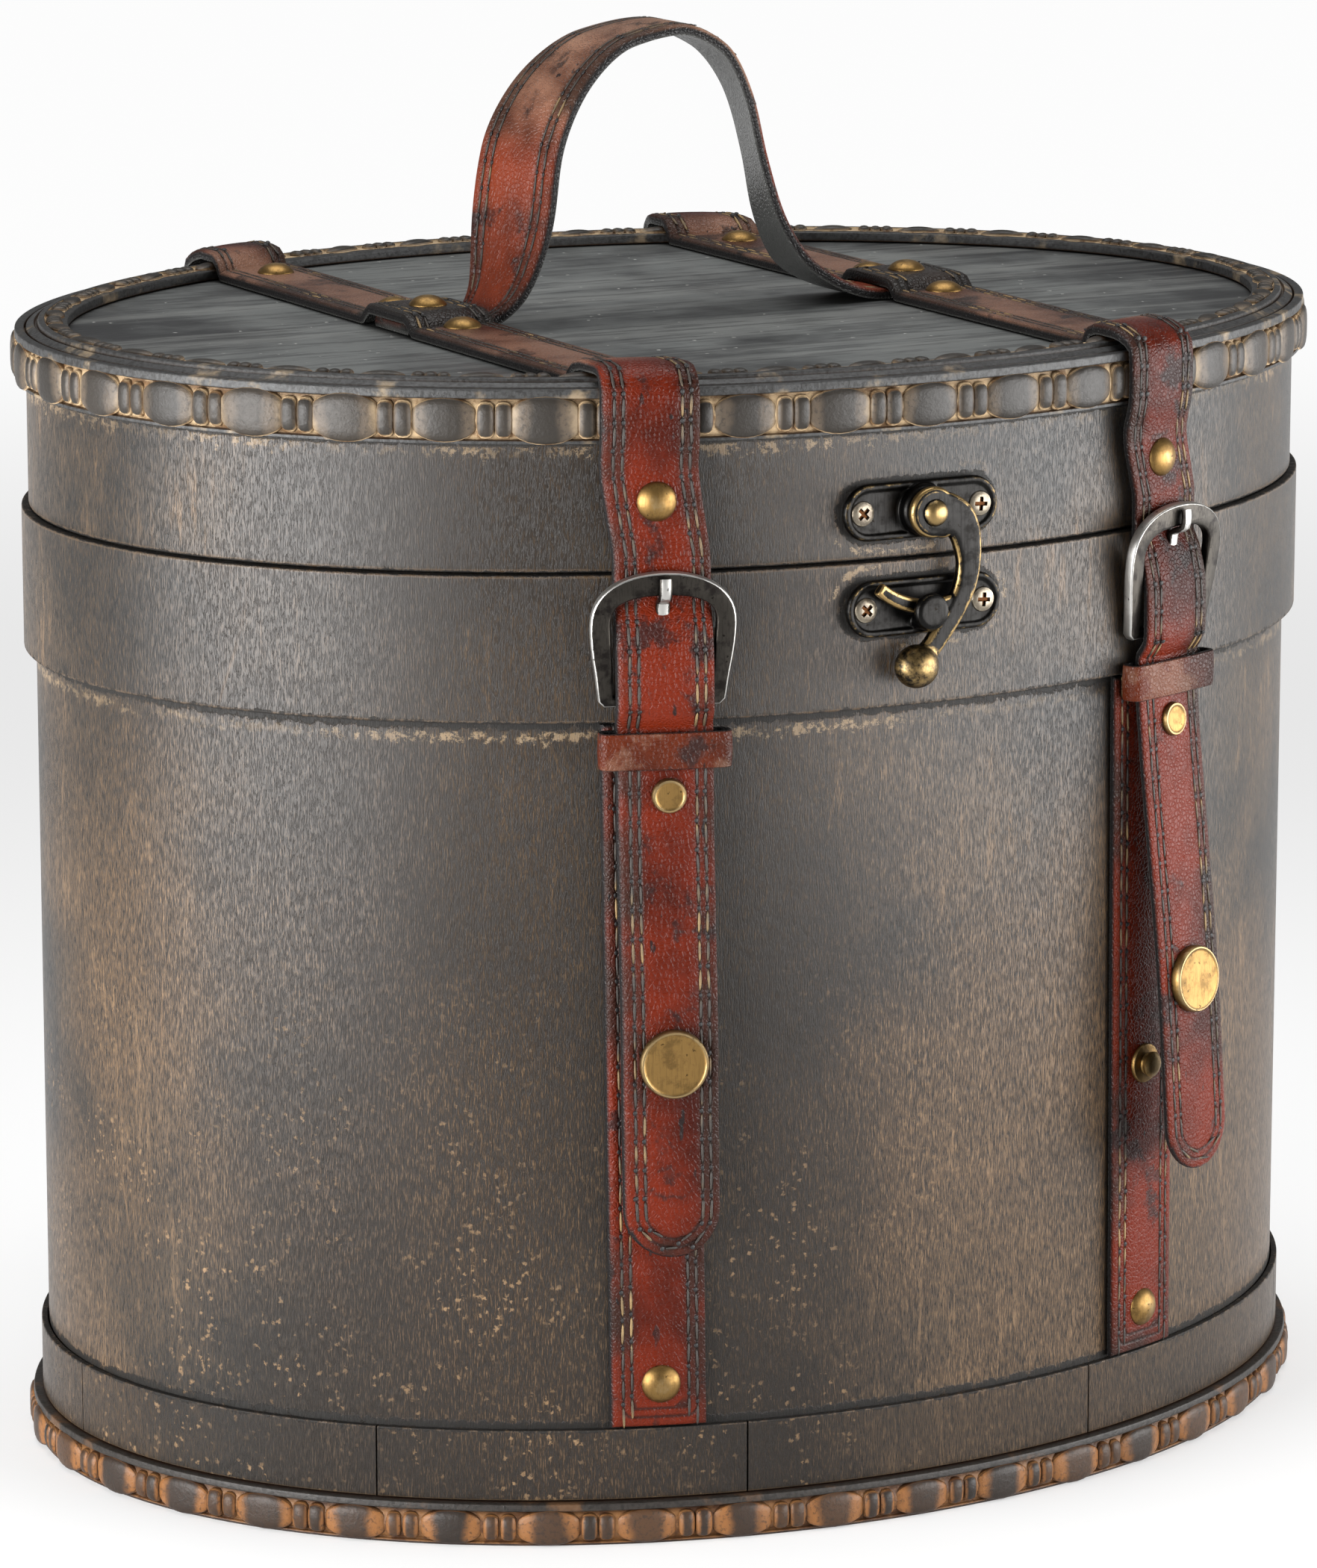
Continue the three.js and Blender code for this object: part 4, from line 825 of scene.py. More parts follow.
def carved_rim_nodes(g, given):
    """Long barrels with two thin reels between each pair, on a plain core."""
    barrel = knob(g, given, given["Barrel Length"], given["Barrel Height"], 0.32, 0.38, 3)
    reel = knob(g, given, given["Reel Length"], given["Reel Height"], 0.25, 0.0, 2)
    parts = [given["Geometry"], set_round(g, given, barrel, 0.0, given["Seed"])]
    for sign in (-1, 1):
        phase = g.plus(0.5, g.times(given["Reel Spread"], sign))
        parts.append(set_round(g, given, reel, phase, g.plus(given["Seed"], 2 + sign)))
    return join_parts(g, parts)


def join_parts(g, parts):
    node = g.add("GeometryNodeJoinGeometry")
    for part in reversed(parts):
        g.tree.links.new(part, node.inputs[0])
    return node.outputs[0]


def leaf_rim_nodes(g, given):
    """Slanted leaves with three short slanted beads between each pair, on a plain core."""
    leaf = knob(g, given, given["Leaf Length"], given["Leaf Height"], 0.2, 0.5, 3)
    bead = knob(g, given, given["Bead Length"], given["Bead Height"], 0.2, 0.2, 2)
    parts = [given["Geometry"], set_round(g, given, leaf, 0.0, given["Seed"], given["Slant"])]
    for number in range(3):
        phase = g.plus(0.5, g.times(given["Bead Spread"], number - 1))
        parts.append(set_round(g, given, bead, phase, g.plus(given["Seed"], number + 1), given["Slant"]))
    return join_parts(g, parts)


def floats(*titles):
    return {title: "Float" for title in titles}


RIM_PLACE = {**floats("Half Length", "Half Width", "Height", "Tilt", "Depth", "Sink"),
             "Count": "Int", "Seed": "Int"}
CARVED_RIM = geometry_tree("carved rim", {**RIM_PLACE, **floats(
    "Barrel Length", "Barrel Height", "Reel Length", "Reel Height", "Reel Spread")}, carved_rim_nodes)
LEAF_RIM = geometry_tree("leaf rim", {**RIM_PLACE, **floats(
    "Leaf Length", "Leaf Height", "Bead Length", "Bead Height", "Bead Spread", "Slant")}, leaf_rim_nodes)

# Carved half-rounds: a dark upper fillet, a thin lower lip, and barrels and reels in low relief between them
ROUND_SINK = 0.9 * MM
ROUND_FALL = 1.3 * MM
ROUND_STEPS = 9
ROUND_STOP = 0.4 * MM
CORE_ROUND = 0.3 * MM
RELIEF_SINK = 0.52
BARRELS = 40
REEL_SPREAD = 0.088


def half_round(out, low_edge, high_edge):
    """Section points of a bulged moulding from its lower to its upper edge."""
    centre, half = (low_edge + high_edge) / 2, (high_edge - low_edge) / 2
    levels = [low_edge + (high_edge - low_edge) * step / (ROUND_STEPS - 1) for step in range(ROUND_STEPS)]
    return [(out - ROUND_SINK - ROUND_FALL * ((level - centre) / half) ** 2, level) for level in levels]


def carved_half_round(node, material, body, back, out, low_edge, high_edge, form):
    """A carved moulding round the oval. The form's sizes are in mm from its outer face and its edges."""
    size = {title: value * MM for title, value in form.items() if title != "seed"}
    fillet = high_edge - size["fillet"]
    lip = out - size["lip_back"]
    core = rounded([
        (back, low_edge), (lip, low_edge), (lip, low_edge + size["lip_high"]),
        *half_round(out, low_edge + size["round_low"], fillet - ROUND_STOP),
        (out - size["fillet_back"], fillet), (out - size["top_back"], high_edge),
        (back, high_edge)], CORE_ROUND)
    core = [(o, z, float(not low_edge + size["dark_low"] < z < fillet - 0.2 * MM)) for o, z, _ in core]
    rail = out - size["rail"]
    mesh = grown(
        node, CARVED_RIM, oval_ring("core", core), material, Half_Length=HALF_LENGTH + rail,
        Half_Width=HALF_WIDTH + rail, Height=(low_edge + high_edge) / 2 - size["drop"], Tilt=0.0,
        Depth=size["depth"], Sink=RELIEF_SINK, Count=BARRELS, Seed=form["seed"],
        Barrel_Length=size["barrel_length"], Barrel_Height=size["barrel_height"],
        Reel_Length=size["reel_length"], Reel_Height=size["reel_height"], Reel_Spread=REEL_SPREAD)
    put(f"{node}_wood", mesh, None, body, [node])


carved_half_round(
    "lid_side_moulding", LID_CARVING, "lid", LID_OUT + GAP, SIDE_OUT, SIDE_LOW,
    SIDE_HIGH,
    {"rail": 2.3, "drop": 0.7, "lip_back": 1.2, "lip_high": 0.7, "round_low": 0.9, "dark_low": 0.9,
     "fillet": 1.9, "fillet_back": 0.7, "top_back": 0.8, "depth": 2.6, "barrel_length": 15.6,
     "barrel_height": 10.4, "reel_length": 4.6, "reel_height": 8.8, "seed": 3})
carved_half_round(
    "base_moulding", BASE_CARVING, "box_body", GAP, BASE_OUT, 0.0, BASE_HIGH,
    {"rail": 2.4, "drop": 0.55, "lip_back": 1.6, "lip_high": 0.6, "round_low": 1.0, "dark_low": 0.5,
     "fillet": 1.5, "fillet_back": 0.8, "top_back": 1.0, "depth": 2.7, "barrel_length": 15.2,
     "barrel_height": 8.4, "reel_length": 4.4, "reel_height": 6.8, "seed": 11})

# Ring on the lid's top edge: a plain outer slope and a crest of slanted leaves
TOP_WIDTH = 9.5 * MM
CREST_FROM = 4.6 * MM
CREST_DEEP = 1.1 * MM
TOP_SECTION = [(0.5, 0.0), (0.0, 0.5), (0.2, 1.3), (1.9, 2.1), (2.2, 1.5), (2.6, 1.6)]
top_out = high("top_moulding").x - HALF_LENGTH
top_in = top_out - TOP_WIDTH
crest_floor = CREST - CREST_DEEP
slope_top = crest_floor + 0.4 * MM
top_core = rounded([
    (top_in, TOP_BASE), *((top_out - inset * MM, TOP_BASE + rise * MM) for inset, rise in TOP_SECTION),
    (top_out - 2.9 * MM, slope_top), (top_out - 4.2 * MM, slope_top + 0.2 * MM),
    (top_out - CREST_FROM, crest_floor), (top_in + 1.6 * MM, crest_floor),
    (top_in, TOP_BASE + 2.1 * MM)], 0.35 * MM)
top_core = [(o, z, float(o > top_out - 4.3 * MM or o < top_in + 1.5 * MM)) for o, z, _ in top_core]
crest_middle = (top_out - CREST_FROM + top_in + 1.2 * MM) / 2
top_mesh = grown(
    "top_moulding", LEAF_RIM, oval_ring("top_core", top_core), LID_CARVING,
    Half_Length=HALF_LENGTH + crest_middle, Half_Width=HALF_WIDTH + crest_middle, Height=crest_floor,
    Tilt=-math.pi / 2, Depth=1.3 * MM, Sink=0.0, Count=38, Seed=19, Leaf_Length=11.6 * MM,
    Leaf_Height=4.8 * MM, Bead_Length=3.5 * MM, Bead_Height=4.2 * MM, Bead_Spread=0.13, Slant=0.22)
put("top_moulding_wood", top_mesh, None, "lid", ["top_moulding"])


# Leather bands
def slopes(places, values):
    """Slopes at the knots that let a curve pass them without swinging over."""
    steps = np.diff(places)[:, None]
    rises = np.diff(values, axis=0) / steps
    made = np.zeros_like(values)
    made[0] = rises[0]
    made[-1] = rises[-1]
    for i in range(1, len(places) - 1):
        before, after = rises[i - 1], rises[i]
        weight_a = 2 * steps[i] + steps[i - 1]
        weight_b = steps[i] + 2 * steps[i - 1]
        same = before * after > 0
        safe_a = np.where(same, before, 1.0)
        safe_b = np.where(same, after, 1.0)
        made[i] = np.where(same, (weight_a + weight_b) / (weight_a / safe_a + weight_b / safe_b), 0.0)
    return made


class Band:
    """A bent band of leather. Its knots place a fibre at any distance u from the middle line."""

    def __init__(self, knots, half, thick, upright, outer_given=False):
        self.knots = knots
        self.half = half
        self.thick = thick
        self.upright = upright
        self.outer_given = outer_given
        middle_line = np.array([knot(0.0) for knot in knots])
        self.places = np.concatenate([[0.0], np.cumsum(np.linalg.norm(np.diff(middle_line, axis=0), axis=1))])
        self.length = self.places[-1]
        self.fibres = {}

    def along(self, u, s):
        key = round(u, 7)
        if key not in self.fibres:
            values = np.array([knot(u) for knot in self.knots])
            self.fibres[key] = (values, slopes(self.places, values))
        values, slope = self.fibres[key]
        i = np.clip(np.searchsorted(self.places, s, side="right") - 1, 0, len(self.places) - 2)
        step = (self.places[i + 1] - self.places[i])[:, None]
        t = (s - self.places[i])[:, None] / step
        return ((1 + 2 * t) * (1 - t) ** 2 * values[i] + t * (1 - t) ** 2 * step * slope[i]
                + t ** 2 * (3 - 2 * t) * values[i + 1] + t ** 2 * (t - 1) * step * slope[i + 1])

    def at(self, u, s):
        """Points on the inner face and the outward directions there, for places s along the band."""
        s = np.atleast_1d(np.asarray(s, float))
        behind, ahead = (np.clip(s + reach, 0, self.length) for reach in (-0.4 * MM, 0.4 * MM))
        way = self.along(u, ahead) - self.along(u, behind)
        if self.upright == "x":
            out = np.stack([np.zeros(len(s)), -way[:, 2], way[:, 1]], axis=1)
        else:
            out = np.stack([-way[:, 2], np.zeros(len(s)), way[:, 0]], axis=1)
        out /= np.linalg.norm(out, axis=1)[:, None]
        points = self.along(u, s)
        if self.outer_given:
            points = points - out * self.thick
        return points, out


# The band's outer face, as shares of its thickness at distances in from the cut edge
FACE = [(0.0, 0.62), (0.35, 0.90), (0.9, 1.0), (1.7, 1.02), (2.3, 0.94), (2.9, 1.02), (3.6, 1.02),
        (4.2, 0.94), (4.8, 1.03), (7.5, 1.07), (10.5, 1.08)]
FACE_INSETS = [inset * MM for inset, _ in FACE]
FACE_SHARES = [share for _, share in FACE]
CUT_WIDTH = 0.3 * MM
TIP_LEAST = 0.4 * MM


def band_mesh(name, band, places, tip=None, blunt=()):
    """The skin of a band. Tip is a rounded start's radius, and blunt names the ends that are cut square."""
    rings, insets, cuts, linings = [], [], [], []
    sides = [(-1, inset) for inset in FACE_INSETS] + [(1, inset) for inset in reversed(FACE_INSETS[:-1])]
    for s in places:
        at_tip = tip and s < tip
        half = band.half
        if at_tip:
            half = max(TIP_LEAST, band.half * math.sqrt(max(0.0, 1 - (1 - s / tip) ** 2)))
        ring = []
        for side, inset in sides:
            u = side * half * (1 - inset / band.half)
            true_inset = band.half - abs(u)
            if at_tip:
                true_inset = band.half * (1 - math.hypot(u / band.half, 1 - s / tip))
            if "start" in blunt:
                true_inset = min(true_inset, s)
            if "end" in blunt:
                true_inset = min(true_inset, band.length - s)
            true_inset = max(0.0, true_inset)
            share = np.interp(true_inset, FACE_INSETS, FACE_SHARES)
            ring.append(face_point(band, u, s, share)[0])
            insets.append(true_inset)
            cuts.append(float(true_inset < CUT_WIDTH))
        under = half - CUT_WIDTH
        for u, share in ((half, 0.25), (under, 0.0), (0.0, 0.0), (-under, 0.0), (-half, 0.25)):
            ring.append(face_point(band, u, s, share)[0])
        rings.append(ring)
        insets += [band.half] * 5
        cuts += [1.0] * 5
        linings += [0.0] * len(sides) + [0.0, 1.0, 1.0, 1.0, 0.0]
    return loft(name, rings, values={"inset": insets, "cut": cuts, "lining": linings})


def face_point(band, u, s, share, lift=0.0):
    """A point at a share of the band's thickness, and the outward direction there."""
    point, out = band.at(u, s)
    return Vector(point[0] + out[0] * (band.thick * share + lift)), Vector(out[0])


def spaced(start, end, step):
    count = max(1, math.ceil((end - start) / step))
    return [start + (end - start) * i / count for i in range(count + 1)]


def tip_places(radius):
    return [radius * share for share in (0.004, 0.03, 0.08, 0.16, 0.27, 0.4, 0.55, 0.72, 0.88)]


STITCH_LIFT = 0.05 * MM


def stitch_point(band, u, s, inset):
    return face_point(band, u, s, np.interp(inset, FACE_INSETS, FACE_SHARES), STITCH_LIFT)


def row_on(band, u, places):
    """Points and outward directions of a stitch row, at the band's outer face."""
    return [stitch_point(band, u, s, band.half - abs(u)) for s in places]


def tip_row(band, tip, inset, steps=14):
    """The turn of a stitch row round a rounded tip."""
    made = []
    for angle in spaced(0.0, math.pi, math.pi / steps):
        u = (band.half - inset) * math.cos(angle)
        made.append(stitch_point(band, u, tip - (tip - inset) * math.sin(angle), inset))
    return made


def side_rows(band, inset, start, end):
    """A stitch row along each side of a band."""
    return [row_on(band, sign * (band.half - inset), spaced(start, end, STRAP_STEP)) for sign in (-1, 1)]


def rows_mesh(name, rows):
    """Stitch rows as lines of points, each with its outward direction."""
    points, edges, outs = [], [], []
    for row in rows:
        first = len(points)
        points += [point for point, _ in row]
        outs += [value for _, out in row for value in out]
        edges += [(first + i, first + i + 1) for i in range(len(row) - 1)]
    mesh = bpy.data.meshes.new(name)
    mesh.from_pydata(points, edges, [])
    mesh.attributes.new("out", "FLOAT_VECTOR", "POINT").data.foreach_set("vector", outs)
    return mesh


def sewn_nodes(g, given):
    """Short rounded stitches along each line of the mesh, each with a flat mark at its end that stands for
    the hole and is painted black as its shade.
    """
    rail = g.add("GeometryNodeMeshToCurve", {0: given["Geometry"]}).outputs[0]
    inputs = {"Curve": rail, "Length": given["Pitch"]}
    points = g.add("GeometryNodeCurveToPoints", inputs, mode="LENGTH").outputs
    form = soft_cube(g, 1, 0.0)
    size = g.combine(given["Stitch Length"], given["Thread Width"], given["Thread Height"])
    stitch = g.add("GeometryNodeTransform", {"Geometry": form, "Scale": size}).outputs[0]
    size = g.combine(given["Hole Size"], given["Hole Size"], g.times(given["Thread Height"], 0.6))
    beside = g.combine(g.times(given["Pitch"], 0.5), 0.0, 0.0)
    inputs = {"Geometry": form, "Scale": size, "Translation": beside}
    # The mark beside each stitch, painted black by the thread material as the shade of a hole
    hole = stored(g, g.add("GeometryNodeTransform", inputs).outputs[0], "hole", 1.0)
    both = g.add("GeometryNodeSetShadeSmooth", {0: join_parts(g, [stitch, hole])}).outputs[0]
    roll = chance(g, given["Seed"], -0.05, 0.05)
    turn = turned_to(g, named_vector(g, "out"), points["Tangent"], "X", roll)
    return set_at(g, points["Points"], both, turn)


SEWN = geometry_tree("sewn rows", {**floats(
    "Pitch", "Stitch Length", "Thread Width", "Thread Height", "Hole Size"), "Seed": "Int"}, sewn_nodes)


def sew(name, rows, body, seed):
    mesh = grown(name, SEWN, rows_mesh(name, rows), THREAD, Pitch=STITCH_PITCH, Stitch_Length=6.0 * MM,
                 Thread_Width=0.75 * MM, Thread_Height=0.7 * MM, Hole_Size=1.35 * MM, Seed=seed)
    return put(name, mesh, None, body)


# How the oval turns away where the straps cross it
WALL_SINE = 0.3288
WALL_COSINE = 0.9444

# Stations of the straps in mm: an offset from the oval and a height, for the hump y and a height, and for
# the flap an offset and the drop below the strap's bend line, from the tip up
TOP_IN = -8.3 * MM
RIM_STATIONS = [(4.7, 245.3), (4.7, 251.0), (4.4, 255.0), (1.8, 257.0), (-0.55, 257.6), (-6.4, 257.6),
                (-8.6, 257.0), (-11.3, 253.8)]
HUMP = [(-13.8, 253.8), (-9.8, 256.5), (7.8, 256.5), (11.8, 253.8)]
FLAP_STATIONS = [(6.6, 152.0), (6.6, 108.6), (5.6, 79.4), (4.6, 53.9), (4.6, 40.3), (4.6, 35.1), (6.9, 30.7),
                 (6.9, 21.85), (5.1, 13.0), (3.3, 8.6)]
KEEPER_DROP = 40.3 * MM
STRAPS = {
    "left": {"side": -1, "line": 218 * MM, "flare": 0.0, "shift": 2.5 * MM},
    "right": {"side": 1, "line": 222 * MM, "flare": math.tan(math.radians(4)), "shift": 3 * MM},
}
UNDER_RIM = 237.3 * MM
AT_RIVET = 226.7 * MM
FRONT_OFFSET = 3.2 * MM
BEND_OFFSET = 3.3 * MM
BACK_OFFSET = 1.5 * MM
BACK_END = 222 * MM


def strap_centre(side, z, offset):
    return side * (STRAP_X + WALL_SINE * max(0.0, offset)) + STRAP_DRIFT * max(0.0, BODY_TOP - z) / BODY_TOP


def wall_knot(side, offset, z, front=-1, shift=0.0):
    narrow = WALL_COSINE if offset > TOP_IN else 1.0

    def knot(u):
        x = strap_centre(side, z, offset) + shift + u * narrow
        return (x, front * oval_y(x, offset), z)
    return knot


def top_knot(side, y, z):
    return lambda u: (side * STRAP_X + u, y, z)


def flap_height(strap, drop):
    fall = math.cos(math.atan(strap["flare"]))
    below = drop - KEEPER_DROP
    return strap["line"] - KEEPER_DROP - below * (fall if below > 0 else 1.0)


def flap_offset(strap, offset, z):
    return offset + strap["flare"] * max(0.0, strap["line"] - KEEPER_DROP - z)


def strap_knots(strap):
    """From the tail's tip up the front, over the top and down the back."""
    side, shift = strap["side"], strap["shift"]
    knots = []
    for offset, drop in FLAP_STATIONS:
        z = flap_height(strap, drop * MM)
        knots.append(wall_knot(side, flap_offset(strap, offset * MM, z), z, -1, shift))
    knots.append(wall_knot(side, BEND_OFFSET, strap["line"], -1, shift))
    at_rivet = shift * (UNDER_RIM - AT_RIVET) / (UNDER_RIM - strap["line"])
    knots.append(wall_knot(side, FRONT_OFFSET, AT_RIVET, -1, at_rivet))
    knots.append(wall_knot(side, FRONT_OFFSET, UNDER_RIM))
    knots += [wall_knot(side, o * MM, z * MM) for o, z in RIM_STATIONS]
    knots += [top_knot(side, y * MM, z * MM) for y, z in HUMP]
    knots += [wall_knot(side, o * MM, z * MM, 1) for o, z in reversed(RIM_STATIONS)]
    knots.append(wall_knot(side, BACK_OFFSET, UNDER_RIM, 1))
    knots.append(wall_knot(side, BACK_OFFSET, BACK_END, 1))
    return knots


# Steps along the straps: finer at the bend and at the square cut ends; no stitch crosses the bend
HINGE_CLEAR = 3 * MM
BEND_ROOM = 5 * MM
BEND_HALF = 4.4 * MM
BEND_STEP = 0.6 * MM
CUT_ROOM = 0.9 * MM
TIP = STRAP_HALF
BODY_STRAP_LOW = 26.2 * MM
BODY_STRAP_HIGH = 182.5 * MM
BODY_STRAP_KNOTS = 15 * MM
straps = {}
for title, strap in STRAPS.items():
    side = strap["side"]
    band = Band(strap_knots(strap), STRAP_HALF, STRAP_THICK, "x")
    straps[title] = band
    hinge = band.places[len(FLAP_STATIONS)]
    places = tip_places(TIP) + spaced(TIP, hinge - BEND_ROOM, STRAP_STEP)
    places += spaced(hinge - BEND_HALF, hinge + BEND_HALF, BEND_STEP)
    places += spaced(hinge + BEND_ROOM, band.length - CUT_ROOM, STRAP_STEP)
    places += [band.length - CUT_WIDTH, band.length]
    piece = add_piece(f"strap_{title}", band_mesh("strap", band, places, TIP, ("end",)), STRAP_LEATHER,
                      [f"lid_strap_{title}", f"strap_tail_{title}"])
    x = strap_centre(side, strap["line"], BEND_OFFSET)
    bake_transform(piece)

    tail_rows, lid_rows = [], []
    for inset in STITCH_INSETS:
        tail_rows += side_rows(band, inset, TIP, hinge - HINGE_CLEAR)
        tail_rows.append(tip_row(band, TIP, inset))
        lid_rows += side_rows(band, inset, hinge + HINGE_CLEAR, band.length - inset)
        lid_rows.append([stitch_point(band, u, band.length - inset, inset)
                         for u in spaced(-STRAP_HALF + inset, STRAP_HALF - inset, STRAP_STEP)])
    sew(f"tail_stitches_{title}", tail_rows, f"{title}_flap", 5)
    sew(f"lid_stitches_{title}", lid_rows, "lid", 6)

    # The strap left on the body, under the tail
    levels = spaced(BODY_STRAP_LOW, BODY_STRAP_HIGH, BODY_STRAP_KNOTS)
    body_knots = [wall_knot(side, GAP, z) for z in levels]
    body_band = Band(body_knots, STRAP_HALF, STRAP_THICK, "x")
    places = [0.0, CUT_WIDTH] + spaced(CUT_ROOM, body_band.length - CUT_ROOM, 2 * STRAP_STEP)
    places += [body_band.length - CUT_WIDTH, body_band.length]
    put(f"body_strap_{title}_leather", band_mesh("body_strap", body_band, places, None, ("start", "end")),
        STRAP_LEATHER, "box_body", [f"body_strap_{title}"])

    body_rows = []
    for inset in STITCH_INSETS:
        body_rows += side_rows(body_band, inset, inset, body_band.length - inset)
    sew(f"body_stitches_{title}", body_rows, "box_body", 7)

# Handle: reach along x and rise as shares of half its span and of its height, and how far it twists
ARCH = [(-1, 0, 0), (-0.883, 0.09, 0.35), (-0.815, 0.32, 1), (-0.766, 0.57, 1), (-0.61, 0.81, 0.8),
        (-0.337, 0.965, 0.4), (-0.064, 1, 0.1), (0.2, 0.92, -0.3), (0.357, 0.74, -0.65), (0.444, 0.5, -0.75),
        (0.522, 0.28, -0.5), (0.669, 0.1, -0.1), (1, 0, 0)]
HANDLE_SPAN = 51.3 * MM
HANDLE_RISE = 63.7 * MM
HANDLE_TWIST = 4.2 * MM
HANDLE_END = high("handle").x
HANDLE_HALF = 10.5 * MM
HANDLE_END_HALF = 8.5 * MM
HANDLE_Y = middle("handle").y
HANDLE_FOOT = TOP_BASE + STRAP_THICK
HANDLE_SEWN_FROM = 22 * MM


def handle_knot(reach, share, twist, half):
    def knot(u):
        across = u / HANDLE_HALF
        x = reach - across * twist * HANDLE_TWIST
        return (x, HANDLE_Y + across * half, HANDLE_FOOT + share * HANDLE_RISE)
    return knot


handle_knots = [handle_knot(-HANDLE_END, 0, 0, HANDLE_END_HALF)]
for reach, share, twist in ARCH:
    half = HANDLE_END_HALF if abs(reach) == 1 else HANDLE_HALF
    handle_knots.append(handle_knot(reach * HANDLE_SPAN, share, twist, half))
handle_knots.append(handle_knot(HANDLE_END, 0, 0, HANDLE_END_HALF))
handle_band = Band(handle_knots, HANDLE_HALF, STRAP_THICK, "y", outer_given=True)
handle_places = spaced(0.0, handle_band.length, STRAP_STEP)
put("handle_leather_band", band_mesh("handle", handle_band, handle_places), HANDLE_LEATHER,
    "lid", ["handle"])
handle_rows = []
for inset in STITCH_INSETS:
    handle_rows += side_rows(handle_band, inset, HANDLE_SEWN_FROM, handle_band.length - HANDLE_SEWN_FROM)
sew("handle_stitches", handle_rows, "lid", 8)


# Places for fittings: a frame has its first axis across, its second up or along, and its third outwards
def framed(origin, across, along, out):
    made = Matrix((across, along, out)).transposed().to_4x4()
    made.translation = origin
    return made


def seat(band, s):
    """The frame at a place on the middle of a band's outer face."""
    step = 0.5 * MM

    def face(at_u, at_s):
        return face_point(band, at_u, at_s, FACE_SHARES[-1])[0]
    across = (face(step, s) - face(-step, s)).normalized()
    along = (face(0.0, s + step) - face(0.0, s - step)).normalized()
    out = across.cross(along).normalized()
    return framed(face(0.0, s), out.cross(along).normalized() * -1, along, out)


def place_where(band, axis, value, start, end):
    """Where along the middle line a coordinate has a value, between two places."""
    steps = np.linspace(start, end, 500)
    found = band.along(0.0, steps)[:, axis]
    order = np.argsort(found)
    return float(np.interp(value, found[order], steps[order]))


def wall_frame(x, offset, z):
    """On the front wall: across, up and outwards."""
    y = -oval_y(x, offset)
    out = Vector((x / (HALF_LENGTH + offset) ** 2, y / (HALF_WIDTH + offset) ** 2, 0.0)).normalized()
    up = Vector((0, 0, 1))
    return framed(Vector((x, y, z)), up.cross(out), up, out)


def turned(name, profile, steps=28):
    """A turned form about its third axis, from (radius, height, edge) points in mm, from the top's middle."""
    angles = [math.tau * i / steps for i in range(steps)]
    rings = []
    for radius, height, _ in profile:
        size = max(radius, 0.02) * MM
        rings.append([Vector((size * math.cos(a), size * math.sin(a), height * MM)) for a in angles])
    return loft(name, rings, values={"edge": [edge for _, _, edge in profile for _ in range(steps)]})


def set_out_nodes(g, given):
    """Sets a pattern at each point, turned to the point's own directions and rolled a little at random."""
    pattern = g.add("GeometryNodeObjectInfo", {"Object": given["Pattern"]}).outputs["Geometry"]
    roll = chance(g, given["Seed"], 0.0, given["Roll"])
    return set_at(g, given["Geometry"], pattern,
                  turned_to(g, named_vector(g, "out"), named_vector(g, "up"), "Y", roll))


SET_OUT = geometry_tree("fittings set out", {"Pattern": "Object", "Roll": "Float", "Seed": "Int"},
                        set_out_nodes)


def set_out(name, pattern, frames, material, roll, seed):
    """One mesh of a pattern set at each frame."""
    points = bpy.data.meshes.new(name)
    points.from_pydata([f.translation for f in frames], [], [])
    for title, column in (("up", 1), ("out", 2)):
        values = [value for f in frames for value in f.col[column].to_3d()]
        points.attributes.new(title, "FLOAT_VECTOR", "POINT").data.foreach_set("vector", values)
    holder = linked(name + "_pattern", pattern)
    mesh = grown(name, SET_OUT, points, material, Pattern=holder, Roll=roll, Seed=seed)
    bpy.data.objects.remove(holder)
    return mesh


DOME = [(0.0, 2.2, 0.75), (0.9, 2.14, 0.72), (1.8, 1.96, 0.6), (2.6, 1.66, 0.45), (3.3, 1.24, 0.35),
        (3.9, 0.7, 0.3), (4.2, 0.28, 0.5), (4.3, 0.05, 0.3), (4.25, -0.3, 0.0)]
FLAT_RIVET = [(0.0, 0.95, 0.35), (2.5, 0.95, 0.35), (2.85, 1.0, 0.5), (3.15, 1.2, 0.95), (3.5, 1.15, 1.0),
              (3.75, 0.7, 0.7), (3.8, 0.05, 0.3), (3.7, -0.3, 0.0)]
PRESS_CAP = [(0.0, 1.9, 0.3), (3.0, 1.9, 0.3), (6.2, 1.86, 0.3), (6.6, 1.9, 0.5), (6.85, 2.1, 0.95),
             (7.15, 2.08, 1.0), (7.42, 1.7, 0.8), (7.5, 0.8, 0.5), (7.4, -0.2, 0.2)]
STUD = [(0.0, 3.4, 0.9), (1.5, 3.36, 0.85), (2.3, 3.1, 0.8), (2.9, 2.55, 0.6), (2.85, 2.1, 0.3),
        (2.3, 1.5, 0.0), (2.5, 1.1, 0.0), (3.6, 0.95, 0.5), (4.3, 0.75, 0.7), (4.5, 0.45, 0.5),
        (4.5, -0.2, 0.0)]
PIVOT = [(0.0, 1.9, 1.0), (0.8, 1.85, 1.0), (1.6, 1.6, 1.0), (2.3, 1.15, 0.9), (2.8, 0.55, 0.7),
         (3.0, 0.0, 0.4), (2.95, -0.3, 0.0)]
SCREW_HEAD = [(0.0, 0.8, 0.4), (1.2, 0.77, 0.4), (2.1, 0.62, 0.5), (2.6, 0.35, 0.7), (2.8, 0.0, 0.4),
              (2.75, -0.3, 0.0)]

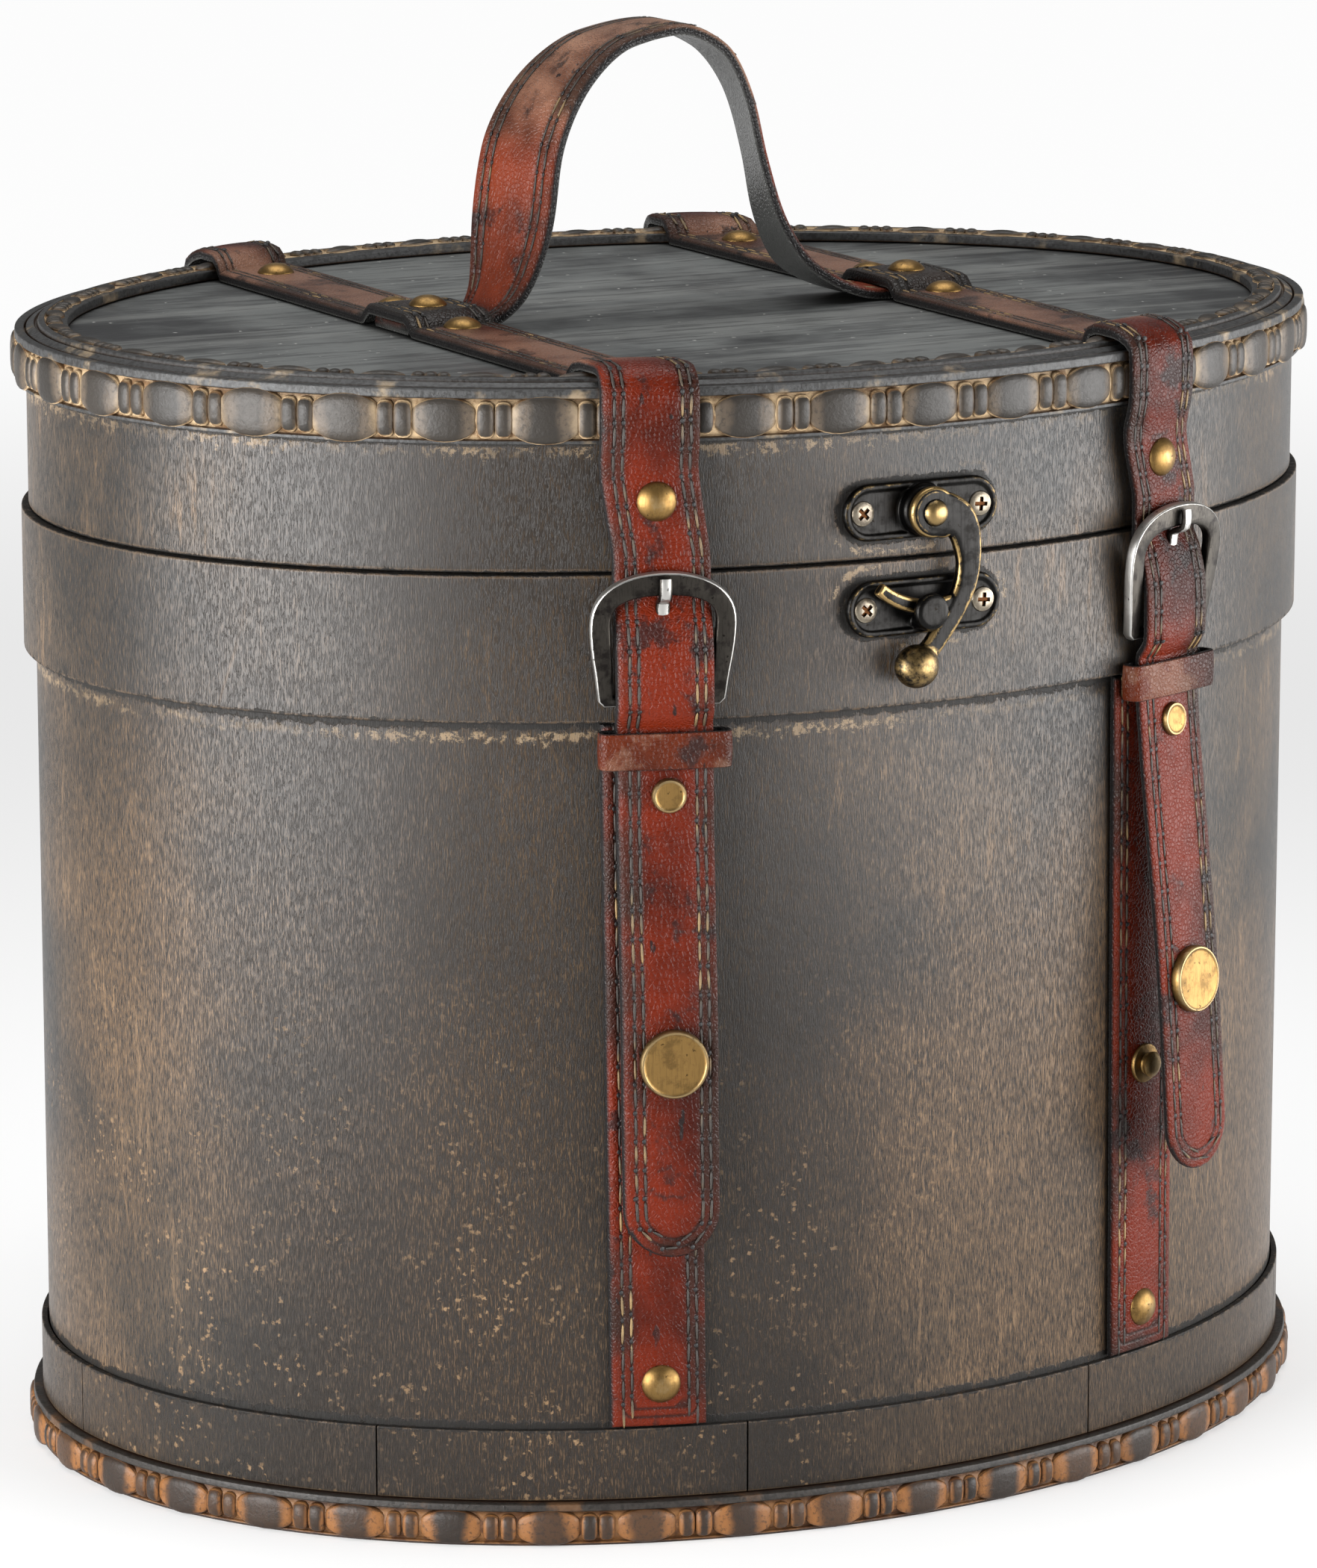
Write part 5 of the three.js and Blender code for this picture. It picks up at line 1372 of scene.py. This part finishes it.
BODY_RIVET_Z = 36 * MM
LID_RIVET_Z = 231 * MM
STUD_Z = 93 * MM
TAIL_RIVET_DROP = 50.2 * MM
CAP_DROP = 108.6 * MM

RIVET_ROLL = 3.0
HANDLE_RIVETS = ("front", "middle", "back")


def brass_set(name, profile, frames, body, nodes, roll=0.0, seed=1, steps=28):
    """Turned brass fittings, one at each frame."""
    mesh = set_out(name, turned(name, profile, steps), frames, BRASS, roll, seed)
    put(name, mesh, None, body, nodes)


body_rivet_frames, stud_frames, lid_rivet_frames = [], [], []
for title, strap in STRAPS.items():
    band = straps[title]
    hinge = band.places[len(FLAP_STATIONS)]
    over = len(FLAP_STATIONS) + len(RIM_STATIONS) + 1
    top_start = band.places[over]
    top_end = band.places[over + len(HUMP) + 2]
    for z, frames in ((BODY_RIVET_Z, body_rivet_frames), (STUD_Z, stud_frames)):
        frames.append(wall_frame(strap_centre(strap["side"], z, GAP), GAP + STRAP_THICK * 0.98, z))
    lid_rivet_frames.append(seat(band, place_where(band, 2, LID_RIVET_Z, hinge, hinge + 25 * MM)))
    for node in [f"handle_rivet_{title}_{where}" for where in HANDLE_RIVETS] + [f"back_rivet_{title}"]:
        lid_rivet_frames.append(seat(band, place_where(band, 1, middle(node).y, top_start, top_end)))
    for kind, drop, profile, steps in (("tail_rivet", TAIL_RIVET_DROP, FLAT_RIVET, 28),
                                       ("snap_cap", CAP_DROP, PRESS_CAP, 40)):
        place = place_where(band, 2, flap_height(strap, drop), 0.0, hinge)
        brass_set(f"{kind}_{title}_brass", profile, [seat(band, place)], f"{title}_flap", [f"{kind}_{title}"],
                  steps=steps)

brass_set("body_rivets", DOME, body_rivet_frames, "box_body",
          ["body_strap_rivet_left", "body_strap_rivet_right"], RIVET_ROLL, 2)
brass_set("snap_studs", STUD, stud_frames, "box_body", ["snap_stud_left", "snap_stud_right"], RIVET_ROLL, 3)
brass_set("lid_rivets", DOME, lid_rivet_frames, "lid",
          [f"handle_rivet_{title}_{where}" for title in STRAPS for where in HANDLE_RIVETS]
          + [f"{kind}_{title}" for kind in ("back_rivet", "lid_strap_rivet") for title in STRAPS],
          RIVET_ROLL, 4)


# Cast metal
def flat_cast(name, outlines, thick, round_over):
    """A flat form from closed outlines, the first one outside and the rest holes, with rolled edges."""
    curve = bpy.data.curves.new(name, "CURVE")
    curve.dimensions = "2D"
    curve.fill_mode = "BOTH"
    curve.extrude = thick / 2 - round_over
    curve.bevel_depth = round_over
    curve.bevel_resolution = 2
    curve.offset = -round_over
    for outline in outlines:
        spline = curve.splines.new("POLY")
        spline.points.add(len(outline) - 1)
        for point, (x, y) in zip(spline.points, outline):
            point.co = (x, y, 0.0, 1.0)
        spline.use_cyclic_u = True
    mesh = settled(linked(name, curve))
    bpy.data.curves.remove(curve)
    outward(mesh, 0.005 * MM)
    flat = thick / 2 - 0.02 * MM
    set_values(mesh, "edge", [0.1 if abs(point.co.z) > flat else 1.0 for point in mesh.vertices])
    smooth(mesh, 40)
    return mesh


def moved(mesh, matrix):
    mesh.transform(matrix)
    return mesh


def shifted(mesh, x, y, z):
    return moved(mesh, Matrix.Translation((x, y, z)))


def soft_square(power, steps):
    """A unit section between a square and a circle, as (across, deep) points."""
    angles = [math.tau * step / steps for step in range(steps)]
    return [tuple(math.copysign(abs(part) ** power, part) for part in (math.cos(angle), math.sin(angle)))
            for angle in angles]


def formed(name, make, move, **sizes):
    """A mesh of one of bmesh's own forms, with each point moved."""
    work = bmesh.new()
    make(work, **sizes)
    for point in work.verts:
        point.co = move(point.co)
    mesh = bpy.data.meshes.new(name)
    work.to_mesh(mesh)
    work.free()
    return mesh


def way_at(path, i):
    """The way a path goes at one of its points."""
    return Vector(path[min(i + 1, len(path) - 1)]) - Vector(path[max(i - 1, 0)])


def bezier(a, b, c, d, steps):
    made = []
    for i in range(steps):
        t = i / steps
        made.append(tuple((1 - t) ** 3 * p + 3 * t * (1 - t) ** 2 * q + 3 * t * t * (1 - t) * r + t ** 3 * s
                          for p, q, r, s in zip(a, b, c, d)))
    return made


BUCKLE_HALF = 15.7 * MM
BUCKLE_INNER = 11.5 * MM
BUCKLE_HEIGHT = 29.5 * MM
BUCKLE_SHOULDER = 18.3 * MM
BUCKLE_TAPER = 2 * MM
BUCKLE_HEEL = 2.2 * MM
BUCKLE_HOLE_TOP = 24.5 * MM
BUCKLE_THICK = 2.4 * MM
BUCKLE_LEAN = math.atan(0.1224)


def buckle_outlines():
    half, height = BUCKLE_HALF, BUCKLE_HEIGHT
    right = [(half - BUCKLE_TAPER - 1.2 * MM, 0.0), (half - BUCKLE_TAPER, 1.2 * MM)]
    right += bezier((half - BUCKLE_TAPER * 0.6, BUCKLE_SHOULDER * 0.4), (half, BUCKLE_SHOULDER * 0.75),
                    (half, BUCKLE_SHOULDER * 0.9), (half, BUCKLE_SHOULDER), 5)
    right += bezier((half, BUCKLE_SHOULDER), (half, 0.88 * height), (0.55 * half, height), (0.0, height), 14)
    outer = right + [(0.0, height)] + [(-x, y) for x, y in reversed(right)]
    inner, top = BUCKLE_INNER, BUCKLE_HOLE_TOP
    foot = inner - BUCKLE_TAPER * 0.5
    hole = [(foot, BUCKLE_HEEL), (inner, BUCKLE_SHOULDER)]
    hole += bezier((inner, BUCKLE_SHOULDER), (inner, top - 2 * MM), (inner - 3 * MM, top), (0.0, top), 12)
    hole += [(0.0, top)] + [(-x, y) for x, y in reversed(hole[1:])] + [(-foot, BUCKLE_HEEL)]
    return [outer, hole]


def dull_inside(mesh, outlines):
    """Takes the rubbed edge off the hole's side of a flat casting."""
    outer, hole = (np.array(outline) for outline in outlines)
    for point, value in zip(mesh.vertices, mesh.attributes["edge"].data):
        at = np.array(point.co.xy)
        if np.min(np.linalg.norm(hole - at, axis=1)) < np.min(np.linalg.norm(outer - at, axis=1)):
            value.value = 0.15
    return mesh


def rod(name, path, width, thick, taper):
    """A rounded bar along (out, up) points, lying in its frame's second and third axes, rubbed outside."""
    section = soft_square(0.7, 12)
    rings = []
    for i, (out, up) in enumerate(path):
        ahead = way_at(path, i)
        normal = Vector((ahead.y, -ahead.x)).normalized()
        scale = (1 - (1 - taper) * i / (len(path) - 1)) / 2
        rings.append([Vector((across * width * scale, up + normal.y * deep * thick * scale,
                              out + normal.x * deep * thick * scale)) for across, deep in section])
    rubbed = [1.0 if deep > 0.65 else 0.1 for _, deep in section]
    return loft(name, rings, values={"edge": rubbed * len(path)})


KEEPER_HALF = 13.5 * MM
KEEPER_ROOM = 3.4 * MM
KEEPER_WALL = 0.9 * MM
KEEPER_HIGH = 8 * MM
KEEPER_CORNER = 1.2 * MM
KEEPER_BOW = 0.35 * MM
KEEPER_SECTION = [(-0.5, 0.0), (-0.5, 0.7), (-0.47, 0.95), (-0.36, 1.05), (0.0, 1.2), (0.36, 1.05),
                  (0.47, 0.95), (0.5, 0.7), (0.5, 0.0)]
NO_MARGIN = 9 * MM


def keeper_mesh():
    """A loop of thin leather round the strap, flat behind and slightly bowed in front."""
    side, low_turn, high_turn = KEEPER_HALF - KEEPER_CORNER, KEEPER_CORNER, KEEPER_ROOM - KEEPER_CORNER
    turns = []
    for x, z, start in ((side, low_turn, -90), (side, high_turn, 0), (-side, high_turn, 90),
                        (-side, low_turn, 180)):
        for step in range(5):
            angle = math.radians(start + 90 * step / 4)
            turns.append((x + KEEPER_CORNER * math.cos(angle), z + KEEPER_CORNER * math.sin(angle), angle))
    path = []
    for i, (x, z, angle) in enumerate(turns):
        path.append((x, z, angle))
        next_x, next_z, _ = turns[(i + 1) % len(turns)]
        if abs(next_x - x) > KEEPER_HALF:
            bow = KEEPER_BOW if z > KEEPER_ROOM / 2 else 0.0
            for step in range(1, 8):
                t = step / 8
                level = z + (next_z - z) * t + bow * math.sin(math.pi * t)
                path.append((x + (next_x - x) * t, level, angle))
    rings = []
    for x, z, angle in path:
        out = Vector((math.cos(angle), 0.0, math.sin(angle))) * KEEPER_WALL
        rings.append([Vector((x, rise * KEEPER_HIGH, z)) + out * deep for rise, deep in KEEPER_SECTION])
    cuts = [float(abs(rise) == 0.5) for rise, _ in KEEPER_SECTION] * len(path)
    return loft("keeper", rings, True, {"inset": [NO_MARGIN] * len(cuts), "cut": cuts})


PRONG_PATH = [(0.5, 2.2), (0.5, 6.0), (0.5, 12.0), (0.5, 18.0), (0.5, 21.5), (0.7, 22.7), (1.6, 23.4),
              (2.8, 23.9), (3.6, 24.6), (3.8, 25.6), (3.75, 26.9), (3.55, 28.0), (3.4, 28.5)]
BUCKLE_DROP = 30.7 * MM
KEEPER_OFFSET = 4.1 * MM
for title, strap in STRAPS.items():
    side, flap = strap["side"], f"{title}_flap"
    foot = strap["line"] - BUCKLE_DROP
    x = strap_centre(side, foot + BUCKLE_HEIGHT / 2, BEND_OFFSET) + strap["shift"]
    at = wall_frame(x, BEND_OFFSET, foot) @ Matrix.Rotation(BUCKLE_LEAN, 4, "X")
    outlines = buckle_outlines()
    buckle = dull_inside(flat_cast("buckle", outlines, BUCKLE_THICK, 0.5 * MM), outlines)
    put(f"buckle_{title}_gunmetal", moved(shifted(buckle, 0, 0, BUCKLE_THICK / 2), at), GUNMETAL,
        flap, [f"buckle_frame_{title}"])
    prong = rod("prong", [(o * MM, u * MM) for o, u in PRONG_PATH], 3.2 * MM, 1.6 * MM, 0.85)
    put(f"prong_{title}_gunmetal", moved(prong, at), GUNMETAL, flap,
        [f"buckle_prong_{title}"])
    z = strap["line"] - KEEPER_DROP
    at = wall_frame(strap_centre(side, z, BEND_OFFSET) + strap["shift"], KEEPER_OFFSET, z)
    put(f"keeper_{title}_leather", moved(keeper_mesh(), at), KEEPER_LEATHER, flap,
        [f"keeper_{title}"])

# Swing latch: plates with a boss and two screws, a hook with a curved arm, a spur and a ball, and a catch
LATCH_Y = -(HALF_WIDTH + LID_OUT + GAP)
CATCH_Y = -(HALF_WIDTH + COLLAR_OUT + GAP)
PLATE_THICK = 1.2 * MM
RIM_THICK = 1.6 * MM
PLATE_RUB = 0.62
SCREW_REACH = 14.5 * MM
HOOK_BACK = 4.7 * MM
HOOK_THICK = 2.6 * MM
CAST_VOXEL = 0.24 * MM


def front_frame(x, y, z):
    return framed(Vector((x, y, z)), Vector((1, 0, 0)), Vector((0, 0, 1)), Vector((0, -1, 0)))


def stadium(half_length, half_height, steps=14):
    made = []
    for centre, start in ((half_length - half_height, -90), (half_height - half_length, 90)):
        for step in range(steps + 1):
            angle = math.radians(start + 180 * step / steps)
            made.append((centre + half_height * math.cos(angle), half_height * math.sin(angle)))
    return made


def plate_parts():
    """A pressed plate with round ends and a raised rim."""
    insets = (0.0, 0.2 * MM, 1.5 * MM)
    outline, *rim_outlines = [stadium(PLATE_HALF - inset, PLATE_TALL / 2 - inset) for inset in insets]
    plate = flat_cast("plate", [outline], PLATE_THICK, 0.35 * MM)
    rim = flat_cast("rim", rim_outlines, RIM_THICK, 0.3 * MM)
    return [shifted(plate, 0, 0, PLATE_THICK / 2), shifted(rim, 0, 0, RIM_THICK / 2)]


def fused(name, parts, rounds, rubbed):
    """One cast skin of several overlapping forms, softened where they meet and rubbed on its ridges."""
    holder = linked(name, joined(name, parts))
    remesh = holder.modifiers.new("fuse", "REMESH")
    remesh.mode = "VOXEL"
    remesh.voxel_size = CAST_VOXEL
    soften = holder.modifiers.new("soften", "SMOOTH")
    soften.iterations = rounds
    soften.factor = 0.5
    mesh = settled(holder)
    mark_ridges(mesh, rubbed)
    smooth(mesh, 180)
    return mesh


def mark_ridges(mesh, rubbed, rounds=10, full=0.07 * MM):
    """Sets the edge value by how far each point stands out of its smoothed neighbourhood."""
    count = len(mesh.vertices)
    points = np.empty(count * 3)
    mesh.vertices.foreach_get("co", points)
    points = points.reshape(-1, 3)
    normals = np.empty(count * 3)
    mesh.vertex_normals.foreach_get("vector", normals)
    ends = np.empty(len(mesh.edges) * 2, dtype=int)
    mesh.edges.foreach_get("vertices", ends)
    ends = ends.reshape(-1, 2)
    links = np.bincount(ends.ravel(), minlength=count)[:, None]
    soft = points.copy()
    for _ in range(rounds):
        total = np.zeros_like(soft)
        np.add.at(total, ends[:, 0], soft[ends[:, 1]])
        np.add.at(total, ends[:, 1], soft[ends[:, 0]])
        soft = 0.5 * soft + 0.5 * total / np.maximum(links, 1)
    stand = ((points - soft) * normals.reshape(-1, 3)).sum(axis=1)
    set_values(mesh, "edge", np.clip(stand / full * rubbed, 0.0, rubbed).tolist())


def sweep(name, path, widths, thick, level):
    """A bar of a soft square section along a flat path of (x, y) points, its middle at a level."""
    section = soft_square(0.6, 16)
    rings = []
    for i, point in enumerate(path):
        way = way_at(path, i).normalized()
        side = Vector((-way.y, way.x, 0.0)) * widths[i] / 2
        here = Vector((*point, level))
        rings.append([here + side * across + Vector((0.0, 0.0, deep * thick / 2))
                      for across, deep in section])
    return loft(name, rings)


def curve_points(knots, steps):
    """A smooth path through flat knots."""
    knots = np.array(knots)
    extended = np.vstack([2 * knots[0] - knots[1], knots, 2 * knots[-1] - knots[-2]])
    made = []
    for i in range(len(knots) - 1):
        a, b, c, d = extended[i:i + 4]
        for step in range(steps):
            t = step / steps
            made.append(tuple(0.5 * (2 * b + (c - a) * t + (2 * a - 5 * b + 4 * c - d) * t * t
                                     + (3 * b - a - 3 * c + d) * t ** 3)))
    made.append(tuple(knots[-1]))
    return made


def ball(name, centre, radius, stretch):
    return formed(name, bmesh.ops.create_uvsphere, lambda at: at * Vector(stretch) + centre,
                  u_segments=28, v_segments=18, radius=radius)


def plain(*points):
    """A profile with no rubbed edges."""
    return [(radius, height, 0.0) for radius, height in points]


ARM = [(0.0, 0.0), (6.5, -2.5), (8.8, -9.0), (8.2, -16.0), (5.0, -22.5), (0.6, -28.5), (-3.6, -33.3)]
ARM_SHARES = (0, 0.1, 0.22, 0.4, 0.6, 0.85, 1)
ARM_WIDTHS = (10.8, 9.8, 7.6, 5.6, 5.0, 4.6, 5.2)
SPUR_RADIUS = 20.35 * MM
SPUR_ANGLES = np.radians(np.linspace(-90 + 22, -90 - 40, 20))
BALL_RADIUS = 4.2 * MM
EYE = plain((0.0, 1.3), (4.4, 1.3), (5.3, 1.0), (5.6, 0.4), (5.6, -0.4), (5.3, -1.0), (4.4, -1.3),
            (0.0, -1.3))
hook_at = front_frame(LATCH_X, LATCH_Y, LATCH_Z)
hook_level = HOOK_BACK + HOOK_THICK / 2
arm_path = curve_points([(x * MM, y * MM) for x, y in ARM], 8)
arm_widths = np.interp(np.linspace(0, 1, len(arm_path)), ARM_SHARES, ARM_WIDTHS) * MM
spur_path = [(SPUR_RADIUS * math.cos(angle), SPUR_RADIUS * math.sin(angle)) for angle in SPUR_ANGLES]
spur_widths = np.interp(np.linspace(0, 1, len(spur_path)), (0, 0.7, 1), (3.2, 3.3, 3.0)) * MM
ball_centre = Vector((*arm_path[-1], hook_level))
hook_parts = [shifted(turned("eye", EYE, 40), 0, 0, hook_level),
              sweep("arm", arm_path, arm_widths, HOOK_THICK * 1.15, hook_level),
              sweep("spur", spur_path, spur_widths, HOOK_THICK * 0.9, hook_level),
              ball("ball", ball_centre, BALL_RADIUS, (1.2, 1.14, 1.0))]
hook_mesh = fused("latch_hook", hook_parts, 4, 1.7)
for point, value in zip(hook_mesh.vertices, hook_mesh.attributes["edge"].data):
    near_ball = 1 - ((point.co - ball_centre).length - BALL_RADIUS) / BALL_RADIUS
    value.value = max(value.value, 0.8 * min(1.0, max(0.0, near_ball)))
put("latch_hook_bronze", moved(hook_mesh, hook_at), BRONZE, "latch_hook", ["latch_hook"])

BOSS = plain((0.0, 4.3), (4.2, 4.3), (5.2, 4.0), (5.6, 3.3), (5.7, 1.2), (6.2, 0.3), (0.0, 0.3))
latch_mesh = fused("latch_plate", plate_parts() + [turned("boss", BOSS, 40)], 3, PLATE_RUB)
put("latch_plate_bronze", moved(latch_mesh, hook_at), BRONZE, "lid", ["latch_plate"])
pivot_mesh = shifted(turned("pivot", PIVOT), 0, 0, HOOK_BACK + HOOK_THICK)
put("latch_pivot_bronze", moved(pivot_mesh, hook_at), BRONZE, "lid", ["latch_pivot"])

CATCH_ASIDE = -1.9 * MM
HEAD_BACK = 6.3
HEAD = plain((0.0, 2.6), (3.0, 2.5), (3.8, 2.1), (4.1, 1.2), (3.8, 0.1), (0.0, 0.0))
POST = plain((0.0, HEAD_BACK + 1), (1.45, HEAD_BACK + 1), (1.45, 1.5), (2.1, 0.6), (0.0, 0.4))
catch_at = front_frame(LATCH_X, CATCH_Y, CATCH_Z)
catch_parts = [shifted(turned("head", HEAD), CATCH_ASIDE, -0.3 * MM, HEAD_BACK * MM),
               shifted(turned("post", POST), CATCH_ASIDE, -3.35 * MM, 0)]
catch_mesh = fused("catch_plate", plate_parts() + catch_parts, 3, PLATE_RUB)
put("catch_plate_bronze", moved(catch_mesh, catch_at), BRONZE, "box_body", ["catch_plate"])


def crossed(head, size, width, deep):
    """Cuts a cross slot into a screw head."""
    for across, along in ((size, width), (width, size)):
        def slot(at):
            taper = 1.0 if at.z > 0 else 0.6
            return Vector((at.x * across * taper, at.y * along * taper, at.z * 2 * deep + 0.8 * MM))
        holder = linked("head", head)
        tool = linked("slot", formed("slot", bmesh.ops.create_cube, slot, size=1.0))
        cut = holder.modifiers.new("cut", "BOOLEAN")
        cut.object = tool
        cut.operation = "DIFFERENCE"
        cut.solver = "EXACT"
        head = settled(holder)
        bpy.data.objects.remove(tool)
    # The slot's faces are marked for rust with painted shade in the metal's material
    in_slot = [float(point.co.z < 0.5 * MM and point.co.xy.length < size / 2) for point in head.vertices]
    set_values(head, "hole", in_slot)
    smooth(head, 30)
    return head


screw = crossed(turned("screw", SCREW_HEAD), 4.0 * MM, 1.15 * MM, 0.65 * MM)
for kind, at, body in (("latch_screw", hook_at, "lid"), ("catch_screw", catch_at, "box_body")):
    frames = [at @ Matrix.Translation((sign * SCREW_REACH, 0, PLATE_THICK)) for sign in (-1, 1)]
    put(f"{kind}s", set_out(kind, screw.copy(), frames, NICKEL, 1.5, 5), None, body,
        [f"{kind}_left", f"{kind}_right"])

# Plain nodes of the model that keep their own shape
HINGE_KINDS = ("hinge_lower_leaf", "hinge_upper_leaf", "hinge_pin")
plain_nodes = {"bottom_panel": WALL, **{f"{kind}_{title}": BRASS for title in STRAPS for kind in HINGE_KINDS}}
for node, material in plain_nodes.items():
    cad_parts[node].data.materials.clear()
    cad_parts[node].data.materials.append(material)

# Camera, floor and light
camera_data = bpy.data.cameras.new("camera")
camera_data.lens = CAMERA_LENS
camera_data.sensor_width = 36
camera_data.clip_end = 100
camera = linked("camera", camera_data)
away = Vector((math.sin(CAMERA_AZIMUTH) * math.cos(CAMERA_ELEVATION),
               -math.cos(CAMERA_AZIMUTH) * math.cos(CAMERA_ELEVATION), math.sin(CAMERA_ELEVATION)))
camera.location = CAMERA_TARGET + away * CAMERA_DISTANCE
camera.rotation_euler = away.to_track_quat("Z", "Y").to_euler()
bpy.context.scene.camera = camera

FLOOR_HALF = 40.0
floor_mesh = bpy.data.meshes.new("floor")
floor_corners = [(x * FLOOR_HALF, y * FLOOR_HALF, 0) for x, y in ((-1, -1), (1, -1), (1, 1), (-1, 1))]
floor_mesh.from_pydata(floor_corners, [], [(0, 1, 2, 3)])
floor = linked("floor", floor_mesh)
floor_material, g, floor_shader = new_material("floor")
for title, value in (("Base Color", rgb(0.82, 0.82, 0.82)), ("Roughness", 0.9), ("Specular IOR Level", 0.1)):
    floor_shader.inputs[title].default_value = value
path = g.add("ShaderNodeLightPath").outputs
seen = g.greatest(path["Is Camera Ray"], path["Is Glossy Ray"], path["Is Transmission Ray"])
glow = g.add("ShaderNodeEmission", {"Color": rgb(1.0, 1.0, 1.0), "Strength": 1.0}).outputs[0]
pale = g.blend(g.ramp(g.vector("LENGTH", g.here()), 0.4, 1.8), 0.35, 0.97)
lit = g.add("ShaderNodeMixShader", {0: g.times(seen, pale), 1: floor_shader.outputs[0], 2: glow}).outputs[0]
g.feed(floor_material.node_tree.nodes["Material Output"].inputs["Surface"], lit)
floor_mesh.materials.append(floor_material)

world = bpy.data.worlds.new("studio")
bpy.context.scene.world = world
world.use_nodes = True
background = world.node_tree.nodes["Background"]
background.inputs["Color"].default_value = rgb(1.0, 1.0, 1.0)
background.inputs["Strength"].default_value = 0.2


def softbox(name, place, target, size, power, spread):
    data = bpy.data.lights.new(name, "AREA")
    data.shape = "RECTANGLE"
    data.size, data.size_y = size
    data.energy = power
    data.spread = math.radians(spread)
    lamp = linked(name, data)
    lamp.location = Vector(place)
    lamp.rotation_euler = (Vector(place) - Vector(target)).to_track_quat("Z", "Y").to_euler()
    lamp.visible_camera = False


# Two wide softboxes stand on the floor beside the camera's line, so that the front between them stays darker,
# and one hangs above
softbox("left softbox", (-0.72, -0.16, 0.21), (-0.143, -0.034, 0.25), (0.70, 0.46), 6.5, 110)
softbox("right softbox", (0.47, -0.48, 0.21), (0.03, -0.095, 0.25), (1.0, 0.46), 5.8, 110)
softbox("top softbox", (0.1, 0.2, 1.6), (0, 0, 0.2), (1.2, 1.0), 17, 180)
bpy.context.scene.view_settings.view_transform = "Standard"
